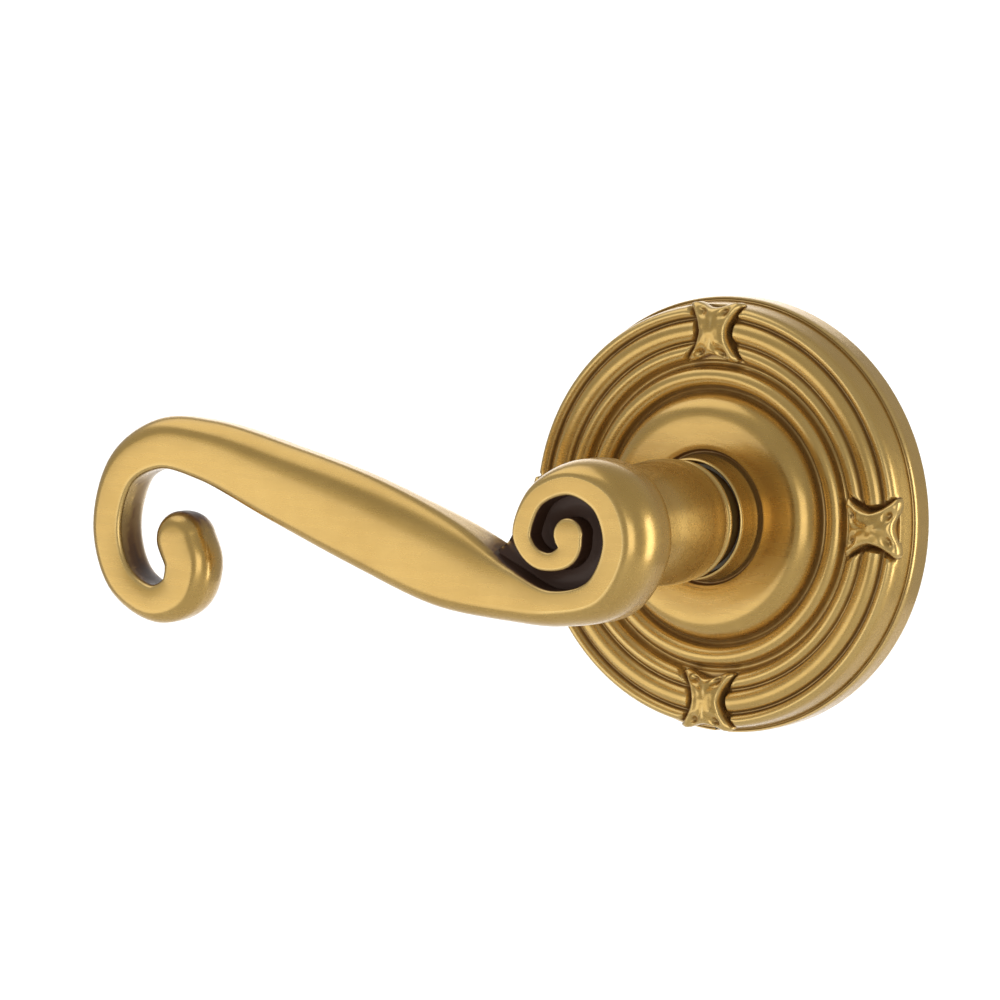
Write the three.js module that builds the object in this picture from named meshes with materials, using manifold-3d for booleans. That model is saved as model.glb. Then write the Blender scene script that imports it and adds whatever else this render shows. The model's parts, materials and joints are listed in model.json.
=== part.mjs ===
// Scroll door lever on a ribbon-and-reed rosette, as one complete half of a door set.
// Millimetres, +Z up. The Y axis is the spindle's axis and y = 0 is the door's face:
// negative y stands out from the door towards the hand, positive y goes into the door.
// The lever arm points along -X and turns down about the spindle's axis.
import * as THREE from "three";
import { mergeVertices } from "three/addons/utils/BufferGeometryUtils.js";
import Module from "manifold-3d";

const wasm = await Module();
wasm.setup();

// ---- Driving dimensions -------------------------------------------------------------

// Rosette
const ROSE_RADIUS = 33.3; // outside edge, a 66.6 mm rosette
const ROSE_HEIGHT = 7.7; // door face to the floor of the reed grooves
const ROSE_WALL = 2.9; // wall behind the outer edge
const ROSE_FRONT_WALL = 2.4; // metal behind the grooves
const RIM_WIDTH = 1.4; // rim bead outside the last reed
const RIM_STEP = 2.3; // its edge below the grooves
const REED_WIDTHS = [1.85, 3.55, 3.1, 4]; // outer, middle and inner reed, then the ring bead
const REED_RISE = 1.3;
const DOME_RISE = 2.8; // dome above the grooves
const DOME_EDGE_GAP = 0.3; // dome's edge inside the ring bead
const COLLAR_HEIGHT = 6.4; // lip above the grooves
const COLLAR_LIP_WALL = 0.68; // outside the bushing's seat
const COLLAR_MOUTH_WALL = 0.35; // at the open mouth of the collar
const COLLAR_MOUTH_DEPTH = 2;
const COLLAR_FLARE = 1.1; // how far the collar spreads where it grows out of the dome
const KNOT_COUNT = 4;
const KNOT_RISE = 2.2; // ribbon knots above the grooves
const KNOT_LENGTH = 8.1; // across the reeds
const KNOT_EDGE_GAP = 1.3; // inside the rosette's edge
const KNOT_CORNER = 3.9; // half width across the ribbon's corners
const KNOT_WAIST = 2.1; // half width at the crossing

// Clearances
const RUNNING_GAP = 0.12; // between the journal and what it turns in
const SEAT_GAP = 0.1; // between pieces that are seated in one another
const THREAD_FIT = 0.15; // gap between a screw and its hole

// Spindle
const SPINDLE_SIZE = 8;
const SPINDLE_FIT = 0.15; // gap on each side in the square bore
const SPINDLE_INSIDE = 21; // from the rosette's grooves into the neck
const SPINDLE_OUTSIDE = 41; // from the door face into the door
const SPINDLE_CHAMFER = 0.8;

// Neck and its bushing
const JOURNAL_WALL = 1.33; // metal outside the corners of the square bore
const JOURNAL_END = 1; // past the retaining ring
const BUSHING_WALL = 1.0;
const BUSHING_FLANGE = 1.0; // how far its flange stands out
const BUSHING_FLANGE_THICKNESS = 0.6;
const BEAD_GAP = 0.47; // between the neck and the collar's bore
const NECK_BEAD_STAND = 2.9; // bead of the neck in front of the collar's lip
const BULB_STAND = 0.4; // bulb outside the collar's lip
const NECK_TAPER = 1.7; // from the bulb to the scroll
const NECK_LENGTH = 30.8; // from the grooves of the rosette to the back of the scroll
const TENON_RADIUS = 4.6;
const TENON_LENGTH = 3.8;
const NECK_SCREW_RADIUS = 2.5;
const NECK_SCREW_SHARE = 0.47; // of the neck's length, at its fattest part
const GRUB_SOCKET_SHARE = 0.5; // hexagon socket's radius over the screw's radius
const GRUB_SOCKET_DEPTH = 2.2;

// Lever scroll
const HEAD_THICKNESS = 9;
const ARM_THICKNESS = 8.4;
const TAIL_THICKNESS = 7.6;
const CHANNEL_DEPTH = 3.4; // depth of the spiral channel in the head
const SECTION_SIDES = 12;
const SECTION_SQUARENESS = 4; // superellipse power: 2 is an ellipse, higher is boxier
const SCROLL_STEPS = 78;

// Return spring
const WIRE_RADIUS = 0.5;
const WIRE_GAP = 0.15; // between turns
const COIL_GAP = 0.48; // round the bushing's flange
const COIL_TURNS = 2.75;
const COIL_HEADROOM = 0.24; // under the dome
const COIL_SEAT = 0.25; // above the cam
const SPRING_LEG = 2.2; // length of the moving leg past the coil
const SPRING_LEG_LEAN = 0.06;
const SPRING_STEPS_PER_TURN = 18;

// Spring cage and its screws
const CAGE_WALL = 0.8;
const CAGE_BACK = 0.8; // back face of the cage above the door face
const CAGE_LEG_ROOM = 2.6; // between the coil and the wall
const CAGE_HOLE_CLEARANCE = 0.9;
const LUG_RADIUS = 2.6;
const LUG_OFFSET = 7.8; // from the cage's outside to the middle of each ear
const CAGE_SCREW_RADIUS = 1.2;
const CAGE_SCREW_LENGTH = 4.2;
const CAGE_SCREW_HEAD = 2.2;
const CAGE_SCREW_HEAD_HEIGHT = 0.85;

// Drive cam and stop pins
const CAM_RIM = 2.2; // plate outside the journal
const CAM_THICKNESS = 1.2;
const CAM_FLOOR_GAP = 0.15;
const CAM_WALL_GAP = 0.7; // between its arms and the cage's wall
const CAM_ARM_HALF_ANGLE = THREE.MathUtils.degToRad(9);
const CAM_REST_ANGLE = THREE.MathUtils.degToRad(205);
const TAB_WIDTH = THREE.MathUtils.degToRad(8); // the cam's tab that pushes the spring's leg
const TAB_GAP = THREE.MathUtils.degToRad(4.5);
const KEY_DEPTH = 1.1; // depth of each of the two flats that key the cam to the journal
const LEVER_TRAVEL = THREE.MathUtils.degToRad(45);
const STOP_RADIUS = 0.9;
const STOP_GAP = 0.15;
const STOP_WALL_GAP = 0.5; // between a pin and the cage's wall

// Washer and retaining ring
const WASHER_THICKNESS = 0.4;
const WASHER_WIDTH = 2.3;
const RING_THICKNESS = 1.0;
const RING_WIDTH = 1.8; // outside the journal
const RING_GROOVE_DEPTH = 0.75;
const RING_OPENING = THREE.MathUtils.degToRad(26);

// Mounting plate, bolts and the rosette's screw
const PLATE_THICKNESS = 1.5;
const PLATE_GAP = 0.45; // between the plate's rim and the rosette
const PLATE_RIM_HEIGHT = 5;
const PLATE_RIM_WALL = 1.2;
const PLATE_HOLE_CLEARANCE = 0.6; // round the cage
const BOLT_RADIUS = 2.5;
const BOLT_HOLE_CLEARANCE = 0.3;
const BOLT_HEAD_RIM = 1.5; // head outside the shank
const BOLT_HEAD_HEIGHT = 2.2;
const BOLT_LENGTH = 34; // past the door face
const BOLT_SLOT = 1.1;
const BOLT_CAGE_CLEARANCE = 0.7;
const LOCK_WASHER_THICKNESS = 1;
const LOCK_WASHER_RIM = 1.6; // washer outside the shank
const WASHER_SPLIT = 0.6; // gap in the split washer
const ROSE_SCREW_RADIUS = 1.5;
const ROSE_SCREW_HEIGHT = 2.9; // above the door face

const TURN = 2 * Math.PI;
const ROSE_SIDES = 52; // sides of the rosette and its plate
const ROUND = 36; // sides of a smaller round piece
const SMALL_ROUND = 20; // sides of a screw or pin

// ---- Places that follow from the dimensions ------------------------------------------

// Radii, from the spindle outwards
const boreHalf = SPINDLE_SIZE / 2 + SPINDLE_FIT;
const journalRadius = boreHalf * Math.SQRT2 + JOURNAL_WALL;
const bushingRadius = journalRadius + RUNNING_GAP + BUSHING_WALL;
const flangeRadius = bushingRadius + BUSHING_FLANGE;
const collarBore = bushingRadius + SEAT_GAP;
const collarLipRadius = collarBore + COLLAR_LIP_WALL;
const collarRadius = collarLipRadius + COLLAR_FLARE;
const beadRadius = collarBore - BEAD_GAP;
const bulbRadius = collarLipRadius + BULB_STAND;
const coilRadius = flangeRadius + COIL_GAP + WIRE_RADIUS;
const cageInner = coilRadius + WIRE_RADIUS + CAGE_LEG_ROOM;
const cageRadius = cageInner + CAGE_WALL;
const camArmReach = cageInner - CAM_WALL_GAP;
const stopReach = cageInner - STOP_WALL_GAP - STOP_RADIUS;
const domeInnerRadius = cageRadius + LUG_RADIUS + 0.2;
const lugReach = cageRadius + LUG_OFFSET;
const washerRadius = journalRadius + SEAT_GAP + WASHER_WIDTH;
const lockWasherRadius = BOLT_RADIUS + LOCK_WASHER_RIM;
const boltReach = cageRadius + BOLT_CAGE_CLEARANCE + lockWasherRadius; // 38 mm bolt spacing
const plateRadius = ROSE_RADIUS - ROSE_WALL - PLATE_GAP;
const plateHole = cageRadius + PLATE_HOLE_CLEARANCE;

// Radii of the dark grooves, from the outer one in to the dome
const reedEdge = ROSE_RADIUS - RIM_WIDTH;
const grooves = REED_WIDTHS.map((_, i) =>
  REED_WIDTHS.slice(0, i + 1).reduce((radius, width) => radius - width, reedEdge),
);
const domeRadius = grooves.at(-1) - DOME_EDGE_GAP;

// Planes across the spindle's axis, from the door outwards
const groovePlane = -ROSE_HEIGHT;
const domeTop = groovePlane - DOME_RISE;
const collarLip = groovePlane - COLLAR_HEIGHT;
const frontWallInside = groovePlane + ROSE_FRONT_WALL;
const cageBack = -CAGE_BACK;
const cageFloor = cageBack - CAGE_WALL;
const camBack = cageFloor - CAM_FLOOR_GAP;
const camFront = camBack - CAM_THICKNESS;
const springBackY = camFront - COIL_SEAT - WIRE_RADIUS;
const springFrontY = springBackY - COIL_TURNS * (2 * WIRE_RADIUS + WIRE_GAP);
const domeInside = springFrontY - WIRE_RADIUS - COIL_HEADROOM;
const cageFront = domeInside + 2 * COIL_HEADROOM;
const lugBack = -PLATE_THICKNESS - 0.25;
const lugFront = lugBack - CAGE_WALL;
const washerBack = cageBack + 0.05 + WASHER_THICKNESS;
const ringFront = washerBack + 0.05;
const ringBack = ringFront + RING_THICKNESS;
const scrollBack = groovePlane - NECK_LENGTH;
const scrollFront = scrollBack - HEAD_THICKNESS;
const boreEnd = groovePlane - SPINDLE_INSIDE - 1;

// ---- Shape helpers ------------------------------------------------------------------

// A closed geometry as a manifold-3d solid, turned outside out if it came inside out.
function solid(geometry) {
  const plain = new THREE.BufferGeometry();
  const source = geometry.index ? geometry.toNonIndexed() : geometry;
  plain.setAttribute("position", source.getAttribute("position").clone());
  const merged = mergeVertices(plain, 1e-4);
  const triVerts = new Uint32Array(merged.index.array);
  const mesh = () =>
    new wasm.Manifold(
      new wasm.Mesh({ numProp: 3, vertProperties: merged.attributes.position.array, triVerts }),
    );
  let made = mesh();
  if (made.volume() < 0) {
    for (let i = 0; i < triVerts.length; i += 3) {
      [triVerts[i + 1], triVerts[i + 2]] = [triVerts[i + 2], triVerts[i + 1]];
    }
    made = mesh();
  }
  return made;
}

// A manifold-3d solid as a three.js geometry.
function geometryOf(made) {
  const mesh = made.getMesh();
  const geometry = new THREE.BufferGeometry();
  const positions = new Float32Array(mesh.numVert * 3);
  for (let i = 0; i < mesh.numVert; i++) {
    const start = i * mesh.numProp;
    positions.set(mesh.vertProperties.subarray(start, start + 3), i * 3);
  }
  geometry.setAttribute("position", new THREE.BufferAttribute(positions, 3));
  geometry.setIndex(new THREE.BufferAttribute(new Uint32Array(mesh.triVerts), 1));
  geometry.computeVertexNormals();
  return geometry;
}

// Turns a profile of [radius, y] points about the spindle's axis. The profile closes on
// itself, unless it starts and ends on the axis.
function turned(profile, sides = ROUND) {
  const points = profile.map(([radius, y]) => new THREE.Vector2(radius, y));
  if (points[0].x > 0) points.push(points[0].clone());
  return solid(new THREE.LatheGeometry(points, sides));
}

// A ring or sleeve about the spindle's axis between two y planes.
function ring(inner, outer, back, front, sides = ROUND) {
  return turned([[inner, back], [outer, back], [outer, front], [inner, front]], sides);
}

// A solid rod along Y between two y planes, at [x, z].
function rod(radius, back, front, x = 0, z = 0, sides = SMALL_ROUND) {
  const length = back - front;
  const geometry = new THREE.CylinderGeometry(radius, radius, length, sides);
  return solid(geometry.translate(x, front + length / 2, z));
}

// Extrudes an outline drawn in [x, z] along Y between two y planes.
function prism(outline, back, front) {
  const options = { depth: back - front, bevelEnabled: false, curveSegments: 6 };
  const geometry = new THREE.ExtrudeGeometry(outline, options);
  return solid(geometry.rotateX(Math.PI / 2).translate(0, back, 0));
}

// A box by its lowest and highest corners.
function box(low, high) {
  const size = high.map((value, i) => value - low[i]);
  const centre = high.map((value, i) => (value + low[i]) / 2);
  return solid(new THREE.BoxGeometry(...size).translate(...centre));
}

function polar(radius, angle) {
  return [radius * Math.cos(angle), radius * Math.sin(angle)];
}

// ---- Materials ----------------------------------------------------------------------

const material = (color, roughness, metalness) =>
  new THREE.MeshStandardMaterial({ color, roughness, metalness });
const agedBrass = material(0xc39a45, 0.32, 1);
const steel = material(0xa9acb0, 0.4, 1);
const springSteel = material(0x5f6267, 0.35, 1);
const blackSteel = material(0x2b2c2e, 0.45, 1);
const nylon = material(0xe6e2d6, 0.6, 0);

const lever = new THREE.Group();

function add(name, made, finish) {
  const mesh = new THREE.Mesh(geometryOf(made), finish);
  mesh.name = name;
  lever.add(mesh);
}

// ---- Rosette ------------------------------------------------------------------------

// Points of a rounded reed between two grooves, without the grooves themselves.
function reed(inner, outer, rise, points = 3) {
  const middle = (inner + outer) / 2;
  const half = (outer - inner) / 2;
  return Array.from({ length: points }, (_, i) => {
    const angle = Math.PI * (1 - (i + 0.7) / (points + 0.4));
    return [middle + half * Math.cos(angle), groovePlane - rise * Math.sin(angle)];
  });
}

function rosetteBody() {
  const [third, second, first, bead] = grooves;
  const innerWall = ROSE_RADIUS - ROSE_WALL;
  return turned(
    [
      [collarBore, collarLip + COLLAR_MOUTH_DEPTH],
      [collarLipRadius - COLLAR_MOUTH_WALL, collarLip + COLLAR_MOUTH_DEPTH],
      [collarLipRadius - COLLAR_MOUTH_WALL, collarLip + 0.1],
      [collarLipRadius - 0.15, collarLip],
      [collarLipRadius + 0.15, collarLip + 0.4],
      [collarLipRadius + 0.4, collarLip + 2.2],
      [collarRadius, domeTop + 0.5],
      [collarRadius + 2.4, domeTop + 0.1],
      [domeRadius - 4, domeTop],
      [domeRadius - 1.8, domeTop + 0.7],
      [domeRadius - 0.4, domeTop + 1.9],
      [bead, groovePlane + 0.1],
      ...reed(bead, first - 0.5, REED_RISE),
      [first, groovePlane + 0.3],
      ...reed(first + 0.5, second, REED_RISE),
      [second, groovePlane - 0.4],
      ...reed(second, third, REED_RISE + 0.2),
      [third, groovePlane - 0.4],
      ...reed(third, reedEdge, REED_RISE - 0.1),
      [reedEdge, groovePlane + 0.6],
      [reedEdge + RIM_WIDTH * 0.6, groovePlane + RIM_STEP - 1.3],
      [ROSE_RADIUS, groovePlane + RIM_STEP],
      [ROSE_RADIUS, 0],
      [innerWall, 0],
      [innerWall, frontWallInside],
      [domeInnerRadius + 2, frontWallInside],
      [domeInnerRadius, domeInside],
      [collarBore, domeInside],
    ],
    ROSE_SIDES,
  );
}

// One crossed-ribbon knot: an outline with four pointed corners and a narrow waist.
function ribbonKnot(angle) {
  const outer = ROSE_RADIUS - KNOT_EDGE_GAP;
  const inner = outer - KNOT_LENGTH;
  const middle = (inner + outer) / 2;
  const corners = [
    [inner, -KNOT_CORNER], [inner + 1.3, 0], [inner, KNOT_CORNER],
    [middle, KNOT_WAIST], [outer, KNOT_CORNER], [outer - 0.9, 0],
    [outer, -KNOT_CORNER], [middle, -KNOT_WAIST],
  ];
  const outline = new THREE.Shape(corners.map(([radius, across]) => {
    const [x, z] = polar(radius, angle);
    return new THREE.Vector2(x - across * Math.sin(angle), z + across * Math.cos(angle));
  }));
  return prism(outline, groovePlane + 0.3, groovePlane - KNOT_RISE);
}

function rosette() {
  let made = rosetteBody();
  for (let i = 0; i < KNOT_COUNT; i++) {
    made = made.add(ribbonKnot((i * TURN) / KNOT_COUNT));
  }
  for (const side of [1, -1]) {
    const boss = rod(LUG_RADIUS, lugFront - SEAT_GAP, frontWallInside - 0.6, side * lugReach);
    const hole = rod(
      CAGE_SCREW_RADIUS + THREAD_FIT, 0, lugBack - CAGE_SCREW_LENGTH - 0.4, side * lugReach,
    );
    made = made.add(boss).subtract(hole);
  }
  const screwHole = radialRod(
    ROSE_SCREW_RADIUS + THREAD_FIT, plateRadius, ROSE_RADIUS + 1, -ROSE_SCREW_HEIGHT,
  );
  return made.subtract(screwHole);
}

// A rod that points down along -Z, from one distance to another from the spindle's axis.
function radialRod(radius, from, to, y, sides = SMALL_ROUND) {
  const geometry = new THREE.CylinderGeometry(radius, radius, to - from, sides);
  return solid(geometry.rotateX(Math.PI / 2).translate(0, y, -(from + to) / 2));
}

// A headless socket screw that points down along -Z, with its hexagon socket at the far end.
function grubScrew(radius, from, to, y) {
  const socket = new THREE.CylinderGeometry(
    GRUB_SOCKET_SHARE * radius, GRUB_SOCKET_SHARE * radius, GRUB_SOCKET_DEPTH, 6,
  );
  const cut = solid(socket.rotateX(Math.PI / 2).translate(0, y, -(to - GRUB_SOCKET_DEPTH / 2 + 0.1)));
  return radialRod(radius, from, to, y).subtract(cut);
}

add("rosette", rosette(), agedBrass);
add(
  "rosette_set_screw",
  grubScrew(ROSE_SCREW_RADIUS, plateRadius + 0.05, ROSE_RADIUS - 0.4, -ROSE_SCREW_HEIGHT),
  blackSteel,
);

// ---- Bushing in the collar ----------------------------------------------------------

function bushing() {
  const inner = journalRadius + RUNNING_GAP;
  const flangeFront = domeInside + SEAT_GAP;
  const flangeBack = flangeFront + BUSHING_FLANGE_THICKNESS;
  return turned([
    [inner, flangeBack],
    [flangeRadius, flangeBack],
    [flangeRadius, flangeFront],
    [bushingRadius, flangeFront],
    [bushingRadius, collarLip + COLLAR_MOUTH_DEPTH + SEAT_GAP],
    [inner, collarLip + COLLAR_MOUTH_DEPTH + SEAT_GAP],
  ]);
}

add("neck_bushing", bushing(), nylon);

// ---- Neck: journal, bead, bulb and tenon ----------------------------------------------

const neckScrewPlane = groovePlane - NECK_LENGTH * NECK_SCREW_SHARE;

function neck() {
  const bulbTop = neckScrewPlane;
  const beadPlane = collarLip - NECK_BEAD_STAND;
  const bulbLength = scrollBack - bulbTop;
  const back = ringBack + JOURNAL_END;
  const grooveRadius = journalRadius - RING_GROOVE_DEPTH;
  const body = turned([
    [0, back],
    [journalRadius - 0.3, back],
    [journalRadius, back - 0.3],
    [journalRadius, ringBack + 0.05],
    [grooveRadius, ringBack + 0.05],
    [grooveRadius, ringFront - 0.05],
    [journalRadius, ringFront - 0.05],
    [journalRadius, collarLip + COLLAR_MOUTH_DEPTH - 0.3],
    [beadRadius, collarLip + COLLAR_MOUTH_DEPTH - 0.7],
    [beadRadius, beadPlane + 1],
    [collarLipRadius - 0.2, beadPlane + 0.5],
    [collarLipRadius, beadPlane],
    [collarLipRadius - 0.15, beadPlane - 0.6],
    [bulbRadius - 0.2, beadPlane - 1.3],
    [bulbRadius, beadPlane - 3],
    [bulbRadius, bulbTop],
    [bulbRadius - NECK_TAPER * 0.4, bulbTop + bulbLength * 0.37],
    [bulbRadius - NECK_TAPER * 0.9, bulbTop + bulbLength * 0.72],
    [bulbRadius - NECK_TAPER, scrollBack + 0.1],
    [TENON_RADIUS, scrollBack + 0.1],
    [TENON_RADIUS, scrollBack - TENON_LENGTH],
    [0, scrollBack - TENON_LENGTH],
  ]);
  const bore = box([-boreHalf, boreEnd, -boreHalf], [boreHalf, back + 1, boreHalf]);
  const screwHole = radialRod(NECK_SCREW_RADIUS + THREAD_FIT, 0, bulbRadius + 1, neckScrewPlane);
  const flat = journalRadius - KEY_DEPTH;
  const flats = [1, -1].map((side) =>
    box(
      [side > 0 ? flat : -journalRadius - 1, camFront - 0.2, -journalRadius - 1],
      [side > 0 ? journalRadius + 1 : -flat, back + 1, journalRadius + 1],
    ),
  );
  return body.subtract(bore).subtract(screwHole).subtract(flats[0]).subtract(flats[1]);
}

add("lever_neck", neck(), agedBrass);
add(
  "neck_set_screw",
  grubScrew(NECK_SCREW_RADIUS, SPINDLE_SIZE / 2 + 0.05, bulbRadius - 0.6, neckScrewPlane),
  blackSteel,
);

// ---- Lever scroll ---------------------------------------------------------------------

// Stations along the scroll's bar, from the eye of the tail to the left side of the head:
// [x, z, half width, thickness]. The bar's front face is flat on one plane.
const BAR_STATIONS = [
  [-72.6, -5.7, 4.4, TAIL_THICKNESS],
  [-70.9, -9.4, 4.0, TAIL_THICKNESS],
  [-72.2, -13.9, 3.5, TAIL_THICKNESS],
  [-77.0, -15.9, 3.0, TAIL_THICKNESS],
  [-83.6, -12.6, 3.0, TAIL_THICKNESS],
  [-86.4, -4.6, 3.1, TAIL_THICKNESS],
  [-83.6, 4.7, 3.3, TAIL_THICKNESS],
  [-76.4, 8.9, 3.9, TAIL_THICKNESS],
  [-67.4, 8.3, 4.7, TAIL_THICKNESS + 0.4],
  [-53.0, 4.0, 6.0, ARM_THICKNESS],
  [-37.0, -1.1, 6.9, ARM_THICKNESS],
  [-22.5, -6.2, 6.5, ARM_THICKNESS + 0.3],
  [-11.8, -9.5, 4.3, HEAD_THICKNESS],
  [-3.0, -11.2, 2.8, HEAD_THICKNESS],
  [5.4, -8.9, 3.0, HEAD_THICKNESS],
  [9.3, -1.2, 3.4, HEAD_THICKNESS],
  [6.8, 5.7, 3.3, HEAD_THICKNESS],
  [0.2, 8.1, 2.6, HEAD_THICKNESS],
  [-6.0, 5.2, 2.0, HEAD_THICKNESS],
  [-8.2, -0.4, 1.8, HEAD_THICKNESS],
  [-6.6, -3.2, 1.5, HEAD_THICKNESS],
];
const HEAD_START = 12; // first station of the head's outer turn

// Stations along the spiral channel in the head's face, from its mouth to its blind end.
const CHANNEL_STATIONS = [
  [-13.2, -1.2, 1.9],
  [-10.9, -3.6, 1.6],
  [-8.0, -5.8, 1.5],
  [-5.2, -7.1, 1.5],
  [-2.0, -7.2, 1.6],
  [1.3, -6.3, 1.75],
  [3.8, -4.1, 2.1],
  [4.8, -0.7, 2.2],
  [3.7, 2.4, 2.05],
  [0.9, 4.1, 1.85],
  [-2.2, 3.7, 1.8],
  [-4.4, 1.9, 1.9],
  [-4.6, -0.7, 1.6],
  [-3.3, -2.4, 0.8],
];

// Curves through the stations: the centre line, and the half width and thickness along it.
function stationCurves(stations) {
  const curve = (points) => new THREE.CatmullRomCurve3(points, false, "centripetal");
  return {
    line: curve(stations.map(([x, z]) => new THREE.Vector3(x, 0, z))),
    size: curve(stations.map(([, , width, depth]) => new THREE.Vector3(width, depth, 0))),
  };
}

// A rounded box section: superellipse points, from -1 to 1 each way.
function sectionPoint(angle) {
  const power = 2 / SECTION_SQUARENESS;
  const bulge = (value) => Math.sign(value) * Math.abs(value) ** power;
  return [bulge(Math.cos(angle)), bulge(Math.sin(angle))];
}

// Sweeps the section along the stations: a cylinder bent onto the curve. The section lies
// behind the front plane, or half on each side of it when it is centred.
function sweep(stations, steps, centred = false) {
  const { line, size } = stationCurves(stations);
  const geometry = new THREE.CylinderGeometry(1, 1, 1, SECTION_SIDES, steps);
  const position = geometry.getAttribute("position");
  const up = new THREE.Vector3(0, 1, 0);
  for (let i = 0; i < position.count; i++) {
    const t = 0.5 - position.getY(i);
    const centre = line.getPoint(t);
    const [x, z] = [position.getX(i), position.getZ(i)];
    const radius = Math.hypot(x, z);
    const [across, through] = sectionPoint(Math.atan2(z, x) + Math.PI / SECTION_SIDES);
    const { x: width, y: thickness } = size.getPoint(t);
    const side = line.getTangent(t).cross(up).normalize();
    const along = across * radius * width;
    const depth = scrollFront + (thickness / 2) * ((centred ? 0 : 1) + through * radius);
    position.setXYZ(i, centre.x + side.x * along, depth, centre.z + side.z * along);
  }
  return solid(geometry);
}

// A round end for the bar, with the bar's own rounded edge.
function eye([x, z, radius, thickness]) {
  const half = thickness / 2;
  const profile = [[0, scrollFront]];
  for (let i = 1; i < SECTION_SIDES / 2; i++) {
    const [out, along] = sectionPoint(Math.PI * (i / (SECTION_SIDES / 2) - 0.5));
    profile.push([out * radius, scrollFront + half * (1 + along)]);
  }
  profile.push([0, scrollFront + thickness]);
  const points = profile.map(([r, y]) => new THREE.Vector2(r, y));
  return solid(new THREE.LatheGeometry(points, 20).translate(x, 0, z));
}

// The metal inside the head's outer turn, which the spiral channel is sunk into.
function headFill() {
  const turn = BAR_STATIONS.slice(HEAD_START);
  const { line } = stationCurves(turn);
  const points = line.getPoints(turn.length * 4);
  const outline = new THREE.Shape(points.map(({ x, z }) => new THREE.Vector2(x, z)));
  return prism(outline, scrollBack, scrollFront);
}

function scroll() {
  const channel = sweep(
    CHANNEL_STATIONS.map(([x, z, width]) => [x, z, width, 2 * CHANNEL_DEPTH]), 44, true,
  );
  const socket = rod(TENON_RADIUS + SEAT_GAP, scrollBack + 1, scrollBack - TENON_LENGTH - SEAT_GAP);
  return sweep(BAR_STATIONS, SCROLL_STEPS)
    .add(eye(BAR_STATIONS[0]))
    .add(headFill())
    .subtract(channel)
    .subtract(socket);
}

add("lever_scroll", scroll(), agedBrass);

// ---- Spindle --------------------------------------------------------------------------

function spindle() {
  const half = SPINDLE_SIZE / 2;
  const front = boreEnd + 1;
  const body = box([-half, front, -half], [half, SPINDLE_OUTSIDE, half]);
  const tip = new THREE.CylinderGeometry(
    half - SPINDLE_CHAMFER, half + SPINDLE_OUTSIDE - SPINDLE_CHAMFER, SPINDLE_OUTSIDE, 4, 1,
  );
  // A four-sided cone's radius is measured to its corners.
  const cone = solid(tip.scale(Math.SQRT2, 1, Math.SQRT2).rotateY(Math.PI / 4));
  return body.intersect(
    cone.translate([0, SPINDLE_OUTSIDE / 2, 0]).add(
      box([-half - 1, front - 1, -half - 1], [half + 1, 1, half + 1]),
    ),
  );
}

add("spindle", spindle(), steel);

// ---- Spring cage and its screws ---------------------------------------------------------

const cageHole = journalRadius + CAGE_HOLE_CLEARANCE;

function springCage() {
  let made = turned([
    [cageHole, cageBack],
    [cageRadius, cageBack],
    [cageRadius, cageFront],
    [cageInner, cageFront],
    [cageInner, cageFloor],
    [cageHole, cageFloor],
  ]);
  for (const side of [1, -1]) {
    const lug = rod(LUG_RADIUS, lugBack, lugFront, side * lugReach);
    const inner = cageInner + CAGE_WALL / 2;
    const bridge = box(
      [side > 0 ? inner : -lugReach, lugFront, -LUG_RADIUS],
      [side > 0 ? lugReach : -inner, lugBack, LUG_RADIUS],
    );
    const hole = rod(CAGE_SCREW_RADIUS + THREAD_FIT, 0, lugFront - 1, side * lugReach);
    made = made.add(lug).add(bridge).subtract(hole);
  }
  // A notch in the wall holds the spring's fixed leg.
  const notch = WIRE_RADIUS + 0.3;
  const slot = box(
    [-cageRadius - 1, cageFront - 1, -notch],
    [-cageInner + 1, springFrontY + notch, notch],
  );
  return made.subtract(slot);
}

// A slotted pan head screw at [x, 0], with its head behind the seat and its shank in front.
function panScrew(radius, length, headRadius, headHeight, seat, x) {
  const shank = rod(radius, seat + headHeight * 0.3, seat - length, x);
  const head = rod(headRadius, seat + headHeight, seat, x);
  const slot = box(
    [x - headRadius - 1, seat + headHeight * 0.5, -radius * 0.25],
    [x + headRadius + 1, seat + headHeight + 1, radius * 0.25],
  );
  return head.add(shank).subtract(slot);
}

// ---- Return spring ----------------------------------------------------------------------

// The coil lies in front of the cam. Its front leg is held in the cage, its back leg by the cam.
const springFixedAngle = Math.PI;
const springLegAngle = springFixedAngle + COIL_TURNS * TURN - 2 * TURN;

function returnSpring() {
  const steps = Math.round(COIL_TURNS * SPRING_STEPS_PER_TURN);
  const lead = (coilRadius * 0.5) / SPRING_STEPS_PER_TURN; // turns a leg's bend takes
  const points = [];
  const [fixedX, fixedZ] = polar(cageRadius - 0.2, springFixedAngle);
  points.push(new THREE.Vector3(fixedX, springFrontY, fixedZ));
  for (let i = 0; i <= steps; i++) {
    const share = i / steps;
    const angle = springFixedAngle + lead * 0.5 + share * (COIL_TURNS * TURN - lead * 0.5);
    const [x, z] = polar(coilRadius, angle);
    points.push(new THREE.Vector3(x, springFrontY + share * (springBackY - springFrontY), z));
  }
  const [endX, endZ] = polar(coilRadius + SPRING_LEG, springLegAngle + SPRING_LEG_LEAN);
  points.push(new THREE.Vector3(endX, springBackY, endZ));
  const wire = new THREE.Shape().absarc(0, 0, WIRE_RADIUS, 0, TURN, false);
  const geometry = new THREE.ExtrudeGeometry(wire, {
    steps: steps + 4,
    curveSegments: 4,
    extrudePath: new THREE.CatmullRomCurve3(points, false, "centripetal"),
  });
  return solid(geometry);
}

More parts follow.
